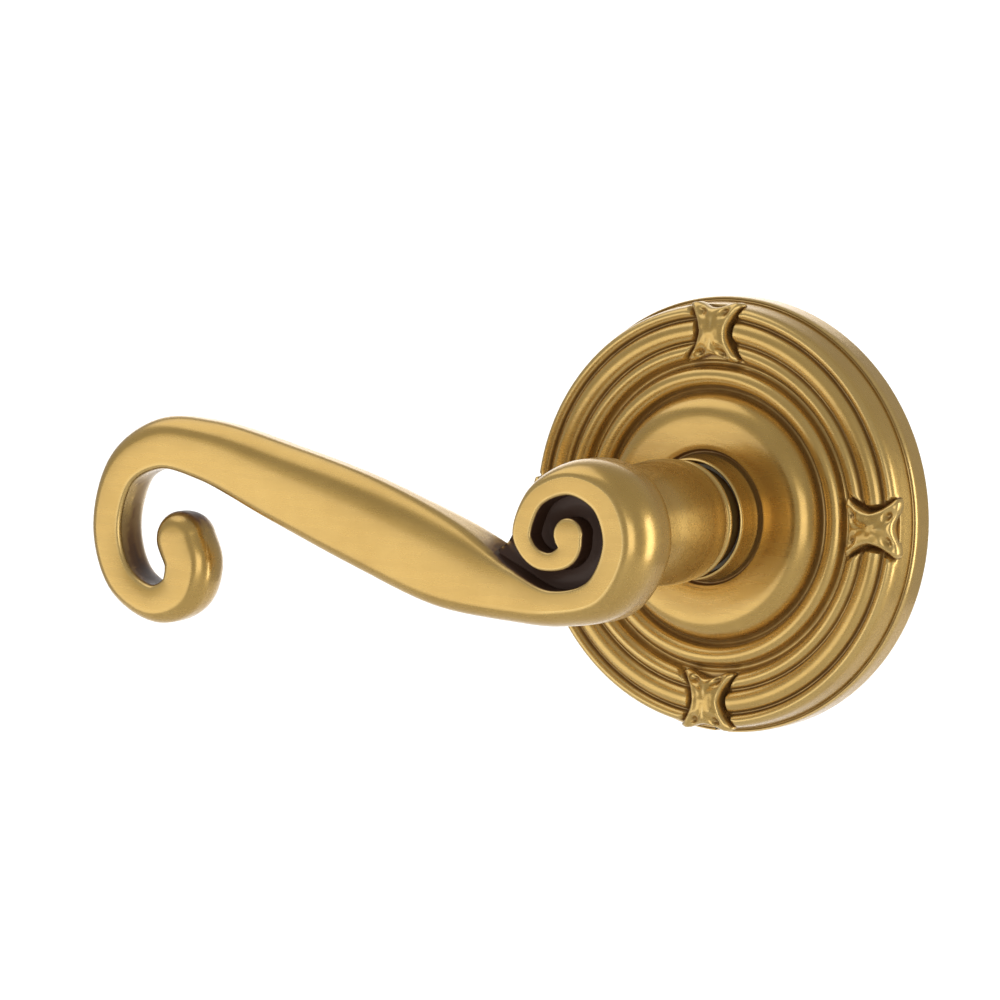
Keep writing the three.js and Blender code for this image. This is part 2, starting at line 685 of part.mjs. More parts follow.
add("return_spring", returnSpring(), springSteel);
add("spring_cage", springCage(), steel);
[1, -1].forEach((side, i) =>
  add(
    `cage_screw_${i + 1}`,
    panScrew(
      CAGE_SCREW_RADIUS, CAGE_SCREW_LENGTH, CAGE_SCREW_HEAD, CAGE_SCREW_HEAD_HEIGHT,
      lugBack + 0.02, side * lugReach,
    ),
    steel,
  ),
);

// ---- Drive cam and stop pins --------------------------------------------------------------

// The outline between two radii and two angles about the spindle's axis.
function sector(inner, outer, from, to) {
  const corners = [[inner, from], [outer, from], [outer, to], [inner, to]];
  return new THREE.Shape(corners.map((corner) => new THREE.Vector2(...polar(...corner))));
}

function driveCam() {
  const camRadius = journalRadius + CAM_RIM;
  const plate = rod(camRadius, camBack, camFront, 0, 0, ROUND);
  const stopArm = sector(
    camRadius - 2, camArmReach,
    CAM_REST_ANGLE - CAM_ARM_HALF_ANGLE, CAM_REST_ANGLE + CAM_ARM_HALF_ANGLE,
  );
  const tabEnd = springLegAngle - TAB_GAP;
  const tabArm = sector(camRadius - 2, camArmReach, tabEnd - TAB_WIDTH, tabEnd);
  const tab = sector(coilRadius + WIRE_RADIUS + 0.4, camArmReach, tabEnd - TAB_WIDTH, tabEnd);
  const gap = SEAT_GAP;
  const hole = rod(journalRadius + gap, camBack + 1, camFront - 1, 0, 0, ROUND);
  const flat = journalRadius - KEY_DEPTH + gap;
  const keyed = hole.intersect(
    box([-flat, camFront - 1, -journalRadius - 1], [flat, camBack + 1, journalRadius + 1]),
  );
  return plate
    .add(prism(stopArm, camBack, camFront))
    .add(prism(tabArm, camBack, camFront))
    .add(prism(tab, camBack, springBackY - WIRE_RADIUS - 0.2))
    .subtract(keyed);
}

// The angle at the axis that a stop pin and its gap take up beside the cam's arm.
const stopClearance = Math.asin((STOP_RADIUS + STOP_GAP) / stopReach);

function stopPin(angle) {
  const [x, z] = polar(stopReach, angle);
  return rod(STOP_RADIUS, cageFloor - 0.02, camFront - 0.6, x, z);
}

add("drive_cam", driveCam(), steel);
add(
  "stop_pin_1",
  stopPin(CAM_REST_ANGLE - CAM_ARM_HALF_ANGLE - stopClearance),
  steel,
);
add(
  "stop_pin_2",
  stopPin(CAM_REST_ANGLE + CAM_ARM_HALF_ANGLE + stopClearance + LEVER_TRAVEL),
  steel,
);

// ---- Thrust washer and retaining ring -------------------------------------------------------

function retainingRing() {
  const inner = journalRadius - RING_GROOVE_DEPTH + 0.05;
  const ringRadius = journalRadius + RING_WIDTH;
  const whole = ring(inner, ringRadius, ringBack, ringFront);
  const gap = new THREE.Shape();
  gap.moveTo(0, 0);
  gap.lineTo(...polar(ringRadius * 2, Math.PI / 2 - RING_OPENING));
  gap.lineTo(...polar(ringRadius * 2, Math.PI / 2 + RING_OPENING));
  return whole.subtract(prism(gap, ringBack + 1, ringFront - 1));
}

add(
  "thrust_washer",
  ring(journalRadius + SEAT_GAP, washerRadius, washerBack, washerBack - WASHER_THICKNESS),
  nylon,
);
add("retaining_ring", retainingRing(), springSteel);

// ---- Mounting plate, bolts and lock washers ---------------------------------------------------

function mountingPlate() {
  let made = turned(
    [
      [plateHole, 0],
      [plateRadius, 0],
      [plateRadius, -PLATE_RIM_HEIGHT],
      [plateRadius - PLATE_RIM_WALL, -PLATE_RIM_HEIGHT],
      [plateRadius - PLATE_RIM_WALL, -PLATE_THICKNESS],
      [plateHole, -PLATE_THICKNESS],
    ],
    ROSE_SIDES,
  );
  for (const side of [1, -1]) {
    const boltHole = rod(
      BOLT_RADIUS + BOLT_HOLE_CLEARANCE, 1, -PLATE_THICKNESS - 1, 0, side * boltReach,
    );
    const headRelief = rod(CAGE_SCREW_HEAD + 0.5, 1, -PLATE_THICKNESS - 1, side * lugReach);
    made = made.subtract(boltHole).subtract(headRelief);
  }
  return made;
}

// A cross-slotted through-bolt at [0, z].
function throughBolt(z) {
  const seat = -PLATE_THICKNESS - LOCK_WASHER_THICKNESS - 0.06;
  const shank = rod(BOLT_RADIUS, BOLT_LENGTH, seat - 0.5, 0, z);
  const headRadius = BOLT_RADIUS + BOLT_HEAD_RIM;
  const top = seat - BOLT_HEAD_HEIGHT;
  const head = rod(headRadius, seat, top, 0, z);
  const half = BOLT_SLOT / 2;
  const depth = seat - BOLT_HEAD_HEIGHT * 0.45;
  const reach = headRadius * 0.6;
  const cross = [
    box([-reach, top - 1, z - half], [reach, depth, z + half]),
    box([-half, top - 1, z - reach], [half, depth, z + reach]),
  ];
  return head.add(shank).subtract(cross[0]).subtract(cross[1]);
}

// A split spring washer round the bolt at [0, z].
function lockWasher(z) {
  const back = -PLATE_THICKNESS - 0.03;
  const front = back - LOCK_WASHER_THICKNESS;
  const outer = rod(lockWasherRadius, back, front, 0, z);
  const hole = rod(BOLT_RADIUS + SEAT_GAP, back + 1, front - 1, 0, z);
  const split = box(
    [BOLT_RADIUS - 1, front - 1, z - WASHER_SPLIT / 2],
    [lockWasherRadius + 1, back + 1, z + WASHER_SPLIT / 2],
  );
  return outer.subtract(hole).subtract(split);
}

add("mounting_plate", mountingPlate(), steel);
[["top", 1], ["bottom", -1]].forEach(([name, side]) => {
  const z = side * boltReach;
  add(`through_bolt_${name}`, throughBolt(z), steel);
  add(`lock_washer_${name}`, lockWasher(z), springSteel);
});

export default lever;
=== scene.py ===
import json
import math

import bmesh
import bpy
from mathutils import Matrix, Vector, noise
from mathutils.bvhtree import BVHTree

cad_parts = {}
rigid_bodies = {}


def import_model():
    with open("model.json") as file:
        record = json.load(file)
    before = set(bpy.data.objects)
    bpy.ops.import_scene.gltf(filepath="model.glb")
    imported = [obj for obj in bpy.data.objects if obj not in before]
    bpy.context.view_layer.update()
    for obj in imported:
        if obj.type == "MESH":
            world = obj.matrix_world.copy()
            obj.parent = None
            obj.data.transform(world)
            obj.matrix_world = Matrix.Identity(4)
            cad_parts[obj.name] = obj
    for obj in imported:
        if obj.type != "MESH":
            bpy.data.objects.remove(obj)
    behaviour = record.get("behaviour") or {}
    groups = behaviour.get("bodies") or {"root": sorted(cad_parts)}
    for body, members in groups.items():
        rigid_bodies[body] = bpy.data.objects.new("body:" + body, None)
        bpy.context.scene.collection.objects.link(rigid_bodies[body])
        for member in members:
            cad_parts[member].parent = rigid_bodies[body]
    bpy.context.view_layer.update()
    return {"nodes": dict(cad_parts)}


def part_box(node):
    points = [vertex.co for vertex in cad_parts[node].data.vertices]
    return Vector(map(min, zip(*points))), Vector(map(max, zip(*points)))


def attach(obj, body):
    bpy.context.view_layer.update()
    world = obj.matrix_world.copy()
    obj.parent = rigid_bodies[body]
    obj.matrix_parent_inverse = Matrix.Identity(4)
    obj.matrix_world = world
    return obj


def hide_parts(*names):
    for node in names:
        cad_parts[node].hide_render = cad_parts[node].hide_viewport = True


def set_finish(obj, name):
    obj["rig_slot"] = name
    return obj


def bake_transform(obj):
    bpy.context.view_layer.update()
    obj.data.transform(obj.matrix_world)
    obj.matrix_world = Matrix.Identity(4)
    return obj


bl_info = {
    "name": "Scroll Door Lever",
    "version": (1, 0, 0),
    "blender": (4, 5, 0),
    "location": "3D View > Sidebar > Door Lever",
    "description": "Builds a scroll door lever on a ribbon-and-reed rosette",
    "category": "Object",
}

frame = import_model()

MM = 0.001
TURN = 2 * math.pi
AXIS = Vector((0, 1, 0))
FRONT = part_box("lever_scroll")[0].y / MM  # front plane of the scroll
COLLAR_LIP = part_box("rosette")[0].y / MM
GROOVE_PLANE = COLLAR_LIP + 6.4

# ---- Tables of shapes, in millimetres --------------------------------------------------

# The scroll's bar, from the eye of the tail to the eye of the head: x, z, half width,
# thickness, then the front edge's rounding on the left and right of the direction of
# travel, each as width and depth, and the crown's height and place.
BAR = (
    (-72.6, -5.7, 4.4, 7.6, 2.1, 2.2, 2.1, 2.2, 0.40, 0.0),
    (-70.9, -9.4, 4.0, 7.6, 2.3, 2.6, 1.2, 1.2, 0.32, 0.0),
    (-72.2, -13.9, 3.5, 7.6, 2.2, 2.5, 0.7, 0.8, 0.28, 0.0),
    (-77.0, -15.9, 3.0, 7.6, 2.0, 2.3, 0.6, 0.7, 0.26, 0.1),
    (-83.6, -12.6, 3.0, 7.6, 1.9, 2.2, 0.6, 0.7, 0.26, 0.1),
    (-86.4, -4.6, 3.1, 7.6, 1.9, 2.2, 0.6, 0.7, 0.28, 0.1),
    (-83.6, 4.7, 3.3, 7.6, 2.1, 2.3, 0.6, 0.7, 0.32, 0.1),
    (-76.4, 8.9, 3.9, 7.6, 2.4, 2.3, 0.7, 0.8, 0.42, 0.15),
    (-67.4, 8.3, 4.7, 8.0, 2.7, 2.3, 1.1, 1.0, 0.60, 0.2),
    (-53.0, 4.0, 6.0, 8.4, 2.9, 2.3, 1.6, 1.3, 0.80, 0.2),
    (-37.0, -1.1, 6.9, 8.4, 2.8, 2.2, 2.0, 1.6, 0.90, 0.2),
    (-22.5, -6.2, 6.5, 8.7, 2.2, 2.0, 2.2, 1.9, 0.65, 0.15),
    (-11.8, -9.5, 4.3, 9.0, 0.9, 1.4, 2.3, 2.6, 0.25, 0.0),
    (-3.0, -11.2, 2.8, 9.0, 0.45, 0.5, 2.5, 3.9, 0.12, 0.0),
    (5.4, -8.9, 3.0, 9.0, 0.45, 0.5, 2.8, 4.8, 0.12, 0.0),
    (9.3, -1.2, 3.4, 9.0, 0.45, 0.5, 3.2, 5.4, 0.12, 0.0),
    (6.8, 5.7, 3.3, 9.0, 0.45, 0.5, 3.1, 5.2, 0.12, 0.0),
    (0.2, 8.1, 2.6, 9.0, 0.45, 0.5, 2.4, 4.4, 0.10, 0.0),
    (-6.0, 5.2, 2.0, 9.0, 0.42, 0.45, 1.4, 2.8, 0.08, 0.0),
    (-8.2, -0.4, 1.8, 9.0, 0.40, 0.45, 0.7, 1.2, 0.08, 0.0),
    (-7.25, -2.45, 1.55, 9.0, 0.40, 0.45, 0.4, 0.5, 0.08, 0.0),
    (-6.15, -3.5, 1.5, 9.0, 0.40, 0.45, 0.4, 0.45, 0.08, 0.0),
    (-4.85, -4.15, 1.47, 9.0, 0.40, 0.45, 0.4, 0.45, 0.08, 0.0),
    (-3.0, -4.3, 1.42, 9.0, 0.40, 0.45, 0.4, 0.45, 0.08, 0.0),
    (-1.45, -3.85, 1.63, 9.0, 0.40, 0.45, 0.4, 0.45, 0.09, 0.0),
    (-0.3, -3.05, 1.9, 9.0, 0.40, 0.45, 0.4, 0.45, 0.10, 0.0),
    (0.15, -1.9, 2.25, 9.0, 0.40, 0.45, 0.4, 0.45, 0.12, 0.0),
    (0.0, -0.25, 2.6, 9.0, 0.40, 0.45, 0.4, 0.45, 0.14, 0.0),
)

# Where the bar is as thick as this, at the head, its back edges stay crisp for the neck.
# Thinner parts have a round back, which takes these shares of the half width and thickness.
HEAD_THICKNESS = 9.0
BACK_WIDTH_SHARE = 0.62
BACK_DEPTH_SHARE = 0.55

# The floor of the spiral channel, from its mouth to its blind end: x, z, half width.
CHANNEL = (
    (-12.6, -2.2, 0.9), (-11.9, -2.9, 1.2), (-10.9, -3.6, 1.5), (-8.0, -5.8, 1.5),
    (-5.2, -7.1, 1.5), (-2.0, -7.2, 1.6), (1.3, -6.3, 1.75), (3.8, -4.1, 2.1),
    (4.8, -0.7, 2.2), (3.7, 2.4, 2.05), (0.9, 4.1, 1.85), (-2.2, 3.7, 1.8),
    (-4.4, 1.9, 1.9), (-4.6, -0.7, 1.6), (-3.3, -2.4, 0.8),
)

# The visible front of the rosette from the mouth of the collar out to the door, as runs of
# radius and y. Each run is a smooth curve, and runs meet in a crease.
ROSE_RUNS = (
    ((8.42, -12.1), (8.75, -12.1)),
    ((8.75, -12.1), (8.75, -13.85)),
    ((8.75, -13.85), (8.83, -14.05), (8.98, -14.1), (9.14, -13.98), (9.2, -13.75)),
    ((9.2, -13.75), (9.18, -13.0), (9.2, -12.2), (9.28, -11.4), (9.42, -10.7), (9.62, -10.15)),
    ((9.62, -10.15), (9.72, -9.6), (9.95, -9.35), (10.18, -9.55), (10.36, -9.95)),
    ((10.36, -9.95), (10.8, -10.14), (11.6, -10.22), (13.1, -10.3), (14.4, -10.36),
     (15.5, -10.36), (16.4, -10.22), (17.2, -9.85), (17.9, -9.25), (18.4, -8.55),
     (18.75, -7.85), (18.95, -7.35)),
    ((18.95, -7.35), (19.12, -7.05), (19.4, -6.9), (19.62, -7.05), (19.8, -7.4)),
    ((19.8, -7.4), (20.05, -7.85), (20.5, -8.25), (21.1, -8.45), (21.7, -8.42),
     (22.25, -8.15), (22.6, -7.7), (22.8, -7.2)),
    ((22.8, -7.2), (22.95, -6.85), (23.3, -6.65), (23.65, -6.75), (23.88, -7.1)),
    ((23.88, -7.1), (24.15, -7.75), (24.6, -8.2), (25.2, -8.4), (25.8, -8.25),
     (26.15, -7.95), (26.34, -7.68)),
    ((26.34, -7.68), (26.5, -7.52), (26.66, -7.68)),
    ((26.66, -7.68), (26.9, -8.1), (27.4, -8.48), (28.25, -8.65), (29.1, -8.48),
     (29.65, -8.05), (29.88, -7.62)),
    ((29.88, -7.62), (30.05, -7.42), (30.22, -7.62)),
    ((30.22, -7.62), (30.45, -8.0), (30.85, -8.28), (31.3, -8.34), (31.72, -8.12),
     (32.03, -7.6), (32.2, -6.9), (32.34, -6.0), (32.5, -5.0), (32.6, -4.3)),
    ((32.6, -4.3), (32.66, -3.98), (32.82, -3.86), (32.96, -3.98)),
    ((32.96, -3.98), (33.1, -3.98), (33.22, -3.75), (33.28, -3.35), (33.3, -2.9)),
    ((33.3, -2.9), (33.3, -1.8), (33.3, -0.35)),
    ((33.3, -0.35), (33.2, -0.1), (32.95, 0.0)),
)
# The hidden inside of the rosette, back to the collar's bore.
ROSE_INSIDE = ((30.4, 0.0), (30.4, -5.3), (19.0, -5.3), (17.0, -7.6), (8.42, -7.6))

# The neck from the end of its journal to its tenon in the scroll, as runs of radius and y.
NECK_RUNS = (
    ((0.0, 1.7), (6.9, 1.7)),
    ((6.9, 1.7), (7.2, 1.4)),
    ((7.2, 1.4), (7.2, 0.75)),
    ((7.2, 0.75), (6.45, 0.75)),
    ((6.45, 0.75), (6.45, -0.35)),
    ((6.45, -0.35), (7.2, -0.35)),
    ((7.2, -0.35), (7.2, -12.4)),
    ((7.2, -12.4), (7.95, -12.8)),
    ((7.95, -12.8), (7.95, -15.9)),
    ((7.95, -15.9), (8.3, -16.2), (8.8, -16.35), (9.08, -16.65), (9.12, -17.0),
     (8.98, -17.3), (8.78, -17.45)),
    ((8.78, -17.45), (9.02, -18.05), (9.3, -18.9), (9.46, -20.2), (9.5, -21.6),
     (9.44, -23.2), (9.22, -25.6), (8.85, -28.4), (8.42, -31.2), (8.08, -33.8),
     (7.88, -36.2), (7.8, -38.6)),
    ((7.8, -38.6), (4.6, -38.6)),
    ((4.6, -38.6), (4.6, -42.2)),
    ((4.6, -42.2), (0.0, -42.2)),
)
NECK_SCREW_Y = -22.18
ROSE_SCREW_Y = -2.9
SPINDLE_HOLE = 8.2
SPINDLE_HOLE_END = -29.7
KEY_FLAT = 6.1
CAM_FRONT = -3.15

# Ribbon knots: the radius of their middles, and the half length and height above the
# grooves of the hollow they stand in.
KNOT_MIDDLE = 27.95
KNOT_HOLLOW_REACH = 4.7
KNOT_HOLLOW_RISE = 0.7
KNOT_SKIRT = 1.2  # how far a knot's sides reach below the grooves

# Through bolts, whose thread starts at this y, and their cross recess; the spring's turns.
BOLT_RADIUS = 2.5
BOLT_HEAD_HEIGHT = 2.2
THREAD_START = 3.0
THREAD_DEPTH = 0.48
THREAD_ROWS = 6  # rows of vertices to one pitch
RECESS_HALF = 0.55
RECESS_DEPTH = 1.25
SPRING_TURNS = 2.75

# Patina, and painted shade in the most enclosed hollows of the cast brass: how far a ray looks
# for metal round most pieces, and round the scroll, whose wide hollows need a longer reach and a
# stronger effect.
SHORT_REACH = 2.4
LONG_REACH = 14
LONG_GAIN = 2.5
# Lighter brass for convex edges: partly rubbed metal, partly a painted highlight.
WORN_AND_HIGHLIT_BRASS = (0.84, 0.61, 0.24)
HAZE = (0.3, 0.185, 0.06)
# Darkest brown for the most enclosed hollows of the cast brass: patina with painted shade.
DEEPEST_PATINA_AND_SHADE = (0.06, 0.026, 0.013)

# The boss behind the head that the neck is joined to.
HEAD_BOSS = ((0.0, -38.3), (8.8, -38.3), (9.3, -38.45), (9.55, -38.9), (9.6, -43.0), (0.0, -43.0))


class DoorLeverSizes(bpy.types.PropertyGroup):
    """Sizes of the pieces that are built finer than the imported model."""

    bar_step: bpy.props.FloatProperty(
        name="Bar Step", description="Spacing of the sections along the scroll's bar",
        default=0.42 * MM, min=0.1 * MM, subtype="DISTANCE", unit="LENGTH",
    )
    channel_depth: bpy.props.FloatProperty(
        name="Channel Depth", description="Depth of the spiral channel at its middle",
        default=3.5 * MM, min=0.5 * MM, subtype="DISTANCE", unit="LENGTH",
    )
    channel_hollow: bpy.props.FloatProperty(
        name="Channel Hollow", description="How far the channel's floor rises at its sides",
        default=0.8 * MM, min=0.0, subtype="DISTANCE", unit="LENGTH",
    )
    back_edge: bpy.props.FloatProperty(
        name="Back Edge", description="Rounding of the bar's back edges",
        default=1.1 * MM, min=0.1 * MM, subtype="DISTANCE", unit="LENGTH",
    )
    rosette_steps: bpy.props.IntProperty(
        name="Rosette Steps", description="Segments round the rosette", default=448, min=96,
    )
    neck_steps: bpy.props.IntProperty(
        name="Neck Steps", description="Segments round the neck", default=144, min=48,
    )
    knot_length: bpy.props.FloatProperty(
        name="Knot Length", description="Length of a ribbon knot across the reeds",
        default=9.5 * MM, min=2 * MM, subtype="DISTANCE", unit="LENGTH",
    )
    knot_rise: bpy.props.FloatProperty(
        name="Knot Rise", description="Height of a ribbon knot above the grooves",
        default=1.95 * MM, min=0.5 * MM, subtype="DISTANCE", unit="LENGTH",
    )
    knot_gap: bpy.props.FloatProperty(
        name="Knot Gap", description="Hollow between a knot and the ends of the reeds",
        default=0.42 * MM, min=0.0, subtype="DISTANCE", unit="LENGTH",
    )
    wire_radius: bpy.props.FloatProperty(
        name="Wire Radius", description="Radius of the return spring's wire",
        default=0.5 * MM, min=0.1 * MM, subtype="DISTANCE", unit="LENGTH",
    )
    thread_pitch: bpy.props.FloatProperty(
        name="Thread Pitch", description="Pitch of the through bolts' thread",
        default=0.8 * MM, min=0.3 * MM, subtype="DISTANCE", unit="LENGTH",
    )


class DoorLeverFinish(bpy.types.PropertyGroup):
    """Colours of the metals and plastics."""

    brass: bpy.props.FloatVectorProperty(
        name="Brass", description="Polished brass on the high parts", subtype="COLOR",
        size=3, min=0, max=1, default=(0.66, 0.425, 0.118),
    )
    brass_deep: bpy.props.FloatVectorProperty(
        name="Deep Brass", description="Warmer brass between the polished parts",
        subtype="COLOR", size=3, min=0, max=1, default=(0.58, 0.36, 0.09),
    )
    patina: bpy.props.FloatVectorProperty(
        name="Patina", description="Brown patina left in the hollows", subtype="COLOR",
        size=3, min=0, max=1, default=(0.18, 0.078, 0.016),
    )
    zinc: bpy.props.FloatVectorProperty(
        name="Zinc", description="Zinc plated steel", subtype="COLOR",
        size=3, min=0, max=1, default=(0.58, 0.59, 0.6),
    )
    spring_steel: bpy.props.FloatVectorProperty(
        name="Spring Steel", description="Tempered spring steel", subtype="COLOR",
        size=3, min=0, max=1, default=(0.2, 0.205, 0.22),
    )
    black_steel: bpy.props.FloatVectorProperty(
        name="Black Steel", description="Blackened steel of the set screws",
        subtype="COLOR", size=3, min=0, max=1, default=(0.03, 0.03, 0.032),
    )
    nylon: bpy.props.FloatVectorProperty(
        name="Nylon", description="Natural nylon of the bushing and washer",
        subtype="COLOR", size=3, min=0, max=1, default=(0.62, 0.57, 0.45),
    )


# ---- Curves and meshes -----------------------------------------------------------------


def curve_point(rows, place):
    """The row at a place along the smooth curve through the rows, whole places being rows."""
    last = len(rows) - 1
    index = min(int(place), last - 1)
    weight = place - index
    one, two = rows[index], rows[index + 1]
    zero = rows[index - 1] if index else [2 * a - b for a, b in zip(one, two)]
    three = rows[index + 2] if index + 2 <= last else [2 * b - a for a, b in zip(one, two)]

    def gap(a, b):
        return max(math.dist(a[:2], b[:2]) ** 0.5, 1e-4)

    before, middle, after = gap(zero, one), gap(one, two), gap(two, three)
    result = []
    for a, b, c, d in zip(zero, one, two, three):
        start = (b - a) / before - (c - a) / (before + middle) + (c - b) / middle
        end = (c - b) / middle - (d - b) / (middle + after) + (d - c) / after
        start, end = start * middle, end * middle
        square, cube = weight * weight, weight ** 3
        result.append(
            b + start * weight + (3 * c - 3 * b - 2 * start - end) * square
            + (2 * b - 2 * c + start + end) * cube
        )
    return result


def even_rows(rows, step):
    """Rows at an even spacing along the smooth curve through the rows."""
    fine = 40
    places = [i / fine for i in range((len(rows) - 1) * fine + 1)]
    points = [curve_point(rows, place) for place in places]
    lengths = [0.0]
    for a, b in zip(points, points[1:]):
        lengths.append(lengths[-1] + math.dist(a[:2], b[:2]))
    count = max(2, round(lengths[-1] / step))
    result, at = [], 0
    for i in range(count + 1):
        target = lengths[-1] * i / count
        while at < len(lengths) - 2 and lengths[at + 1] < target:
            at += 1
        span = lengths[at + 1] - lengths[at]
        share = (target - lengths[at]) / span if span else 0
        result.append([p + (q - p) * share for p, q in zip(points[at], points[at + 1])])
    return result


def run_points(runs, step=0.16):
    """A profile through runs of points, each run smooth, with a crease where runs meet."""
    profile = [list(runs[0][0])]
    for run in runs:
        if len(run) == 2:
            profile.append(list(run[1]))
        else:
            profile.extend(even_rows([list(p) for p in run], step)[1:])
    return profile


def add_spun(bm, profile, steps, closed):
    """Spins a profile of radius and y, in millimetres, about the Y axis."""
    verts = [bm.verts.new((radius * MM, y * MM, 0)) for radius, y in profile]
    pairs = list(zip(verts, verts[1:]))
    if closed:
        pairs.append((verts[-1], verts[0]))
    edges = [bm.edges.new(pair) for pair in pairs]
    bmesh.ops.spin(
        bm, geom=verts + edges, cent=(0, 0, 0), axis=AXIS, dvec=(0, 0, 0), angle=TURN,
        steps=steps, use_merge=True, use_normal_flip=False, use_duplicate=False,
    )


def sided(across, deep, half, count):
    """Rounding from a flat face into a side, as (across, depth) pairs of a quarter ellipse."""
    points = []
    for i in range(count + 1):
        angle = math.pi / 2 * i / count
        points.append((half - across * (1 - math.sin(angle)), deep * (1 - math.cos(angle))))
    return points


def bar_section(row, back_edge):
    """One closed section of the bar, as (side, depth) pairs in millimetres.
    It starts at the middle of the face and goes round by the left side and the back."""
    _, _, half, thick, left, left_deep, right, right_deep, crown, place = row
    soft = min(1.0, max(0.0, (HEAD_THICKNESS - thick) / 0.5))
    back_round = min(back_edge, half * 0.6)
    back_deep = back_round + (BACK_DEPTH_SHARE * thick - back_round) * soft
    back_round += (BACK_WIDTH_SHARE * half - back_round) * soft

    def half_loop(across, deep, sign):
        flat = half - across
        points = []
        for i in range(7):
            points.append((sign * flat * i / 7, 0.0))
        for side, depth in sided(across, deep, half, 9):
            points.append((sign * side, depth))
        low, high = deep, thick - back_deep
        for i in range(1, 5):
            points.append((sign * half, low + (high - low) * i / 5))
        for side, depth in reversed(sided(back_round, back_deep, half, 8)):
            points.append((sign * side, thick - depth))
        for i in range(1, 4):
            points.append((sign * (half - back_round) * (1 - i / 4), thick))
        return points

    def crowned(side, depth):
        across = side / half
        span = (1 - place) if across > place else (1 + place)
        fall = ((across - place) / span) ** 2
        fade = max(0.0, 1 - depth / (0.55 * thick))
        return side, depth + crown * fall * fade

    loop = half_loop(left, left_deep, 1) + [(0.0, thick)]
    loop += list(reversed(half_loop(right, right_deep, -1)))[:-1]
    return [crowned(side, depth) for side, depth in loop]


def add_swept(bm, rows, sections):
    """Extrudes a section along rows of x, z, taking each row's own section.
    Returns the first and last loops of vertices."""
    loops = []
    loop = None
    for i, (row, section) in enumerate(zip(rows, sections)):
        before, after = rows[max(i - 1, 0)], rows[min(i + 1, len(rows) - 1)]
        heading = Vector((after[0] - before[0], after[1] - before[1])).normalized()
        side_x, side_z = -heading.y, heading.x
        places = [
            Vector((row[0] + side_x * side, FRONT + depth, row[1] + side_z * side)) * MM
            for side, depth in section
        ]
        if loop is None:
            loop = [bm.verts.new(place) for place in places]
            edges = [bm.edges.new((a, b)) for a, b in zip(loop, loop[1:] + loop[:1])]
        else:
            made = bmesh.ops.extrude_edge_only(bm, edges=edges)["geom"]
            fresh = {v for v in made if isinstance(v, bmesh.types.BMVert)}
            edges = [e for e in made if isinstance(e, bmesh.types.BMEdge)
                     and all(v in fresh for v in e.verts)]
            loop = [
                next(e.other_vert(v) for e in v.link_edges if e.other_vert(v) in fresh)
                for v in loop
            ]
            for vert, place in zip(loop, places):
                vert.co = place
        loops.append(loop)
    return loops[0], loops[-1]


def add_round_end(bm, loop, centre, angle, steps):
    """Closes the end of a swept bar by spinning the left half of its last section."""
    half = len(loop) // 2
    verts = loop[: half + 1]
    edges = [bm.edges.get((a, b)) for a, b in zip(verts, verts[1:])]
    bmesh.ops.spin(
        bm, geom=verts + edges, cent=centre, axis=AXIS, dvec=(0, 0, 0), angle=angle,
        steps=steps, use_merge=False, use_normal_flip=False, use_duplicate=False,
    )


def finish_mesh(bm, name, merge=1e-6, crease=math.radians(38)):
    """Merges, turns the faces outwards and returns the mesh, smooth but for its creases."""
    bmesh.ops.remove_doubles(bm, verts=bm.verts, dist=merge)
    bmesh.ops.recalc_face_normals(bm, faces=bm.faces)
    mesh = bpy.data.meshes.new(name)
    bm.to_mesh(mesh)
    bm.free()
    mesh.shade_smooth()
    mesh.set_sharp_from_angle(angle=crease)
    return mesh


def place_piece(name, mesh, material, slot, body, *nodes):
    """Links a finished mesh as a piece that rides a body and stands for CAD nodes."""
    piece = bpy.data.objects.new(name, mesh)
    bpy.context.scene.collection.objects.link(piece)
    mesh.materials.clear()
    mesh.materials.append(material)
    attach(piece, body)
    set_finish(piece, slot)
    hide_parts(*nodes)


def cut_mesh(mesh, *cutters):
    """A copy of a mesh with closed cutter meshes taken away from it."""
    holder = bpy.data.objects.new("cut_holder", mesh)
    bpy.context.scene.collection.objects.link(holder)
    tools = []
    for cutter in cutters:
        tool = bpy.data.objects.new("cutter", cutter)
        bpy.context.scene.collection.objects.link(tool)
        tools.append(tool)
        modifier = holder.modifiers.new("cut", "BOOLEAN")
        modifier.operation = "DIFFERENCE"
        modifier.solver = "EXACT"
        modifier.object = tool
    bpy.context.view_layer.update()
    graph = bpy.context.evaluated_depsgraph_get()
    result = bpy.data.meshes.new_from_object(holder.evaluated_get(graph))
    for thing in (holder, *tools):
        bpy.data.objects.remove(thing)
    if len(result.polygons) < 8:
        raise RuntimeError("a cut left nothing of " + mesh.name)
    result.shade_smooth()
    result.set_sharp_from_angle(angle=math.radians(38))
    return result


def rod_mesh(radius, start, end, steps=48):
    """A closed rod between two points, in millimetres."""
    bm = bmesh.new()
    start, end = Vector(start) * MM, Vector(end) * MM
    turn = (end - start).to_track_quat("Z", "Y").to_matrix().to_4x4()
    bmesh.ops.create_cone(
        bm, cap_ends=True, segments=steps, radius1=radius * MM, radius2=radius * MM,
        depth=(end - start).length, matrix=Matrix.Translation((start + end) / 2) @ turn,
    )
    return finish_mesh(bm, "rod")


def box_mesh(low, high):
    """A closed box between two corners, in millimetres."""
    bm = bmesh.new()
    low, high = Vector(low) * MM, Vector(high) * MM
    size = high - low
    bmesh.ops.create_cube(
        bm, size=1, matrix=Matrix.Translation((low + high) / 2) @ Matrix.Diagonal((*size, 1)),
    )
    return finish_mesh(bm, "box")


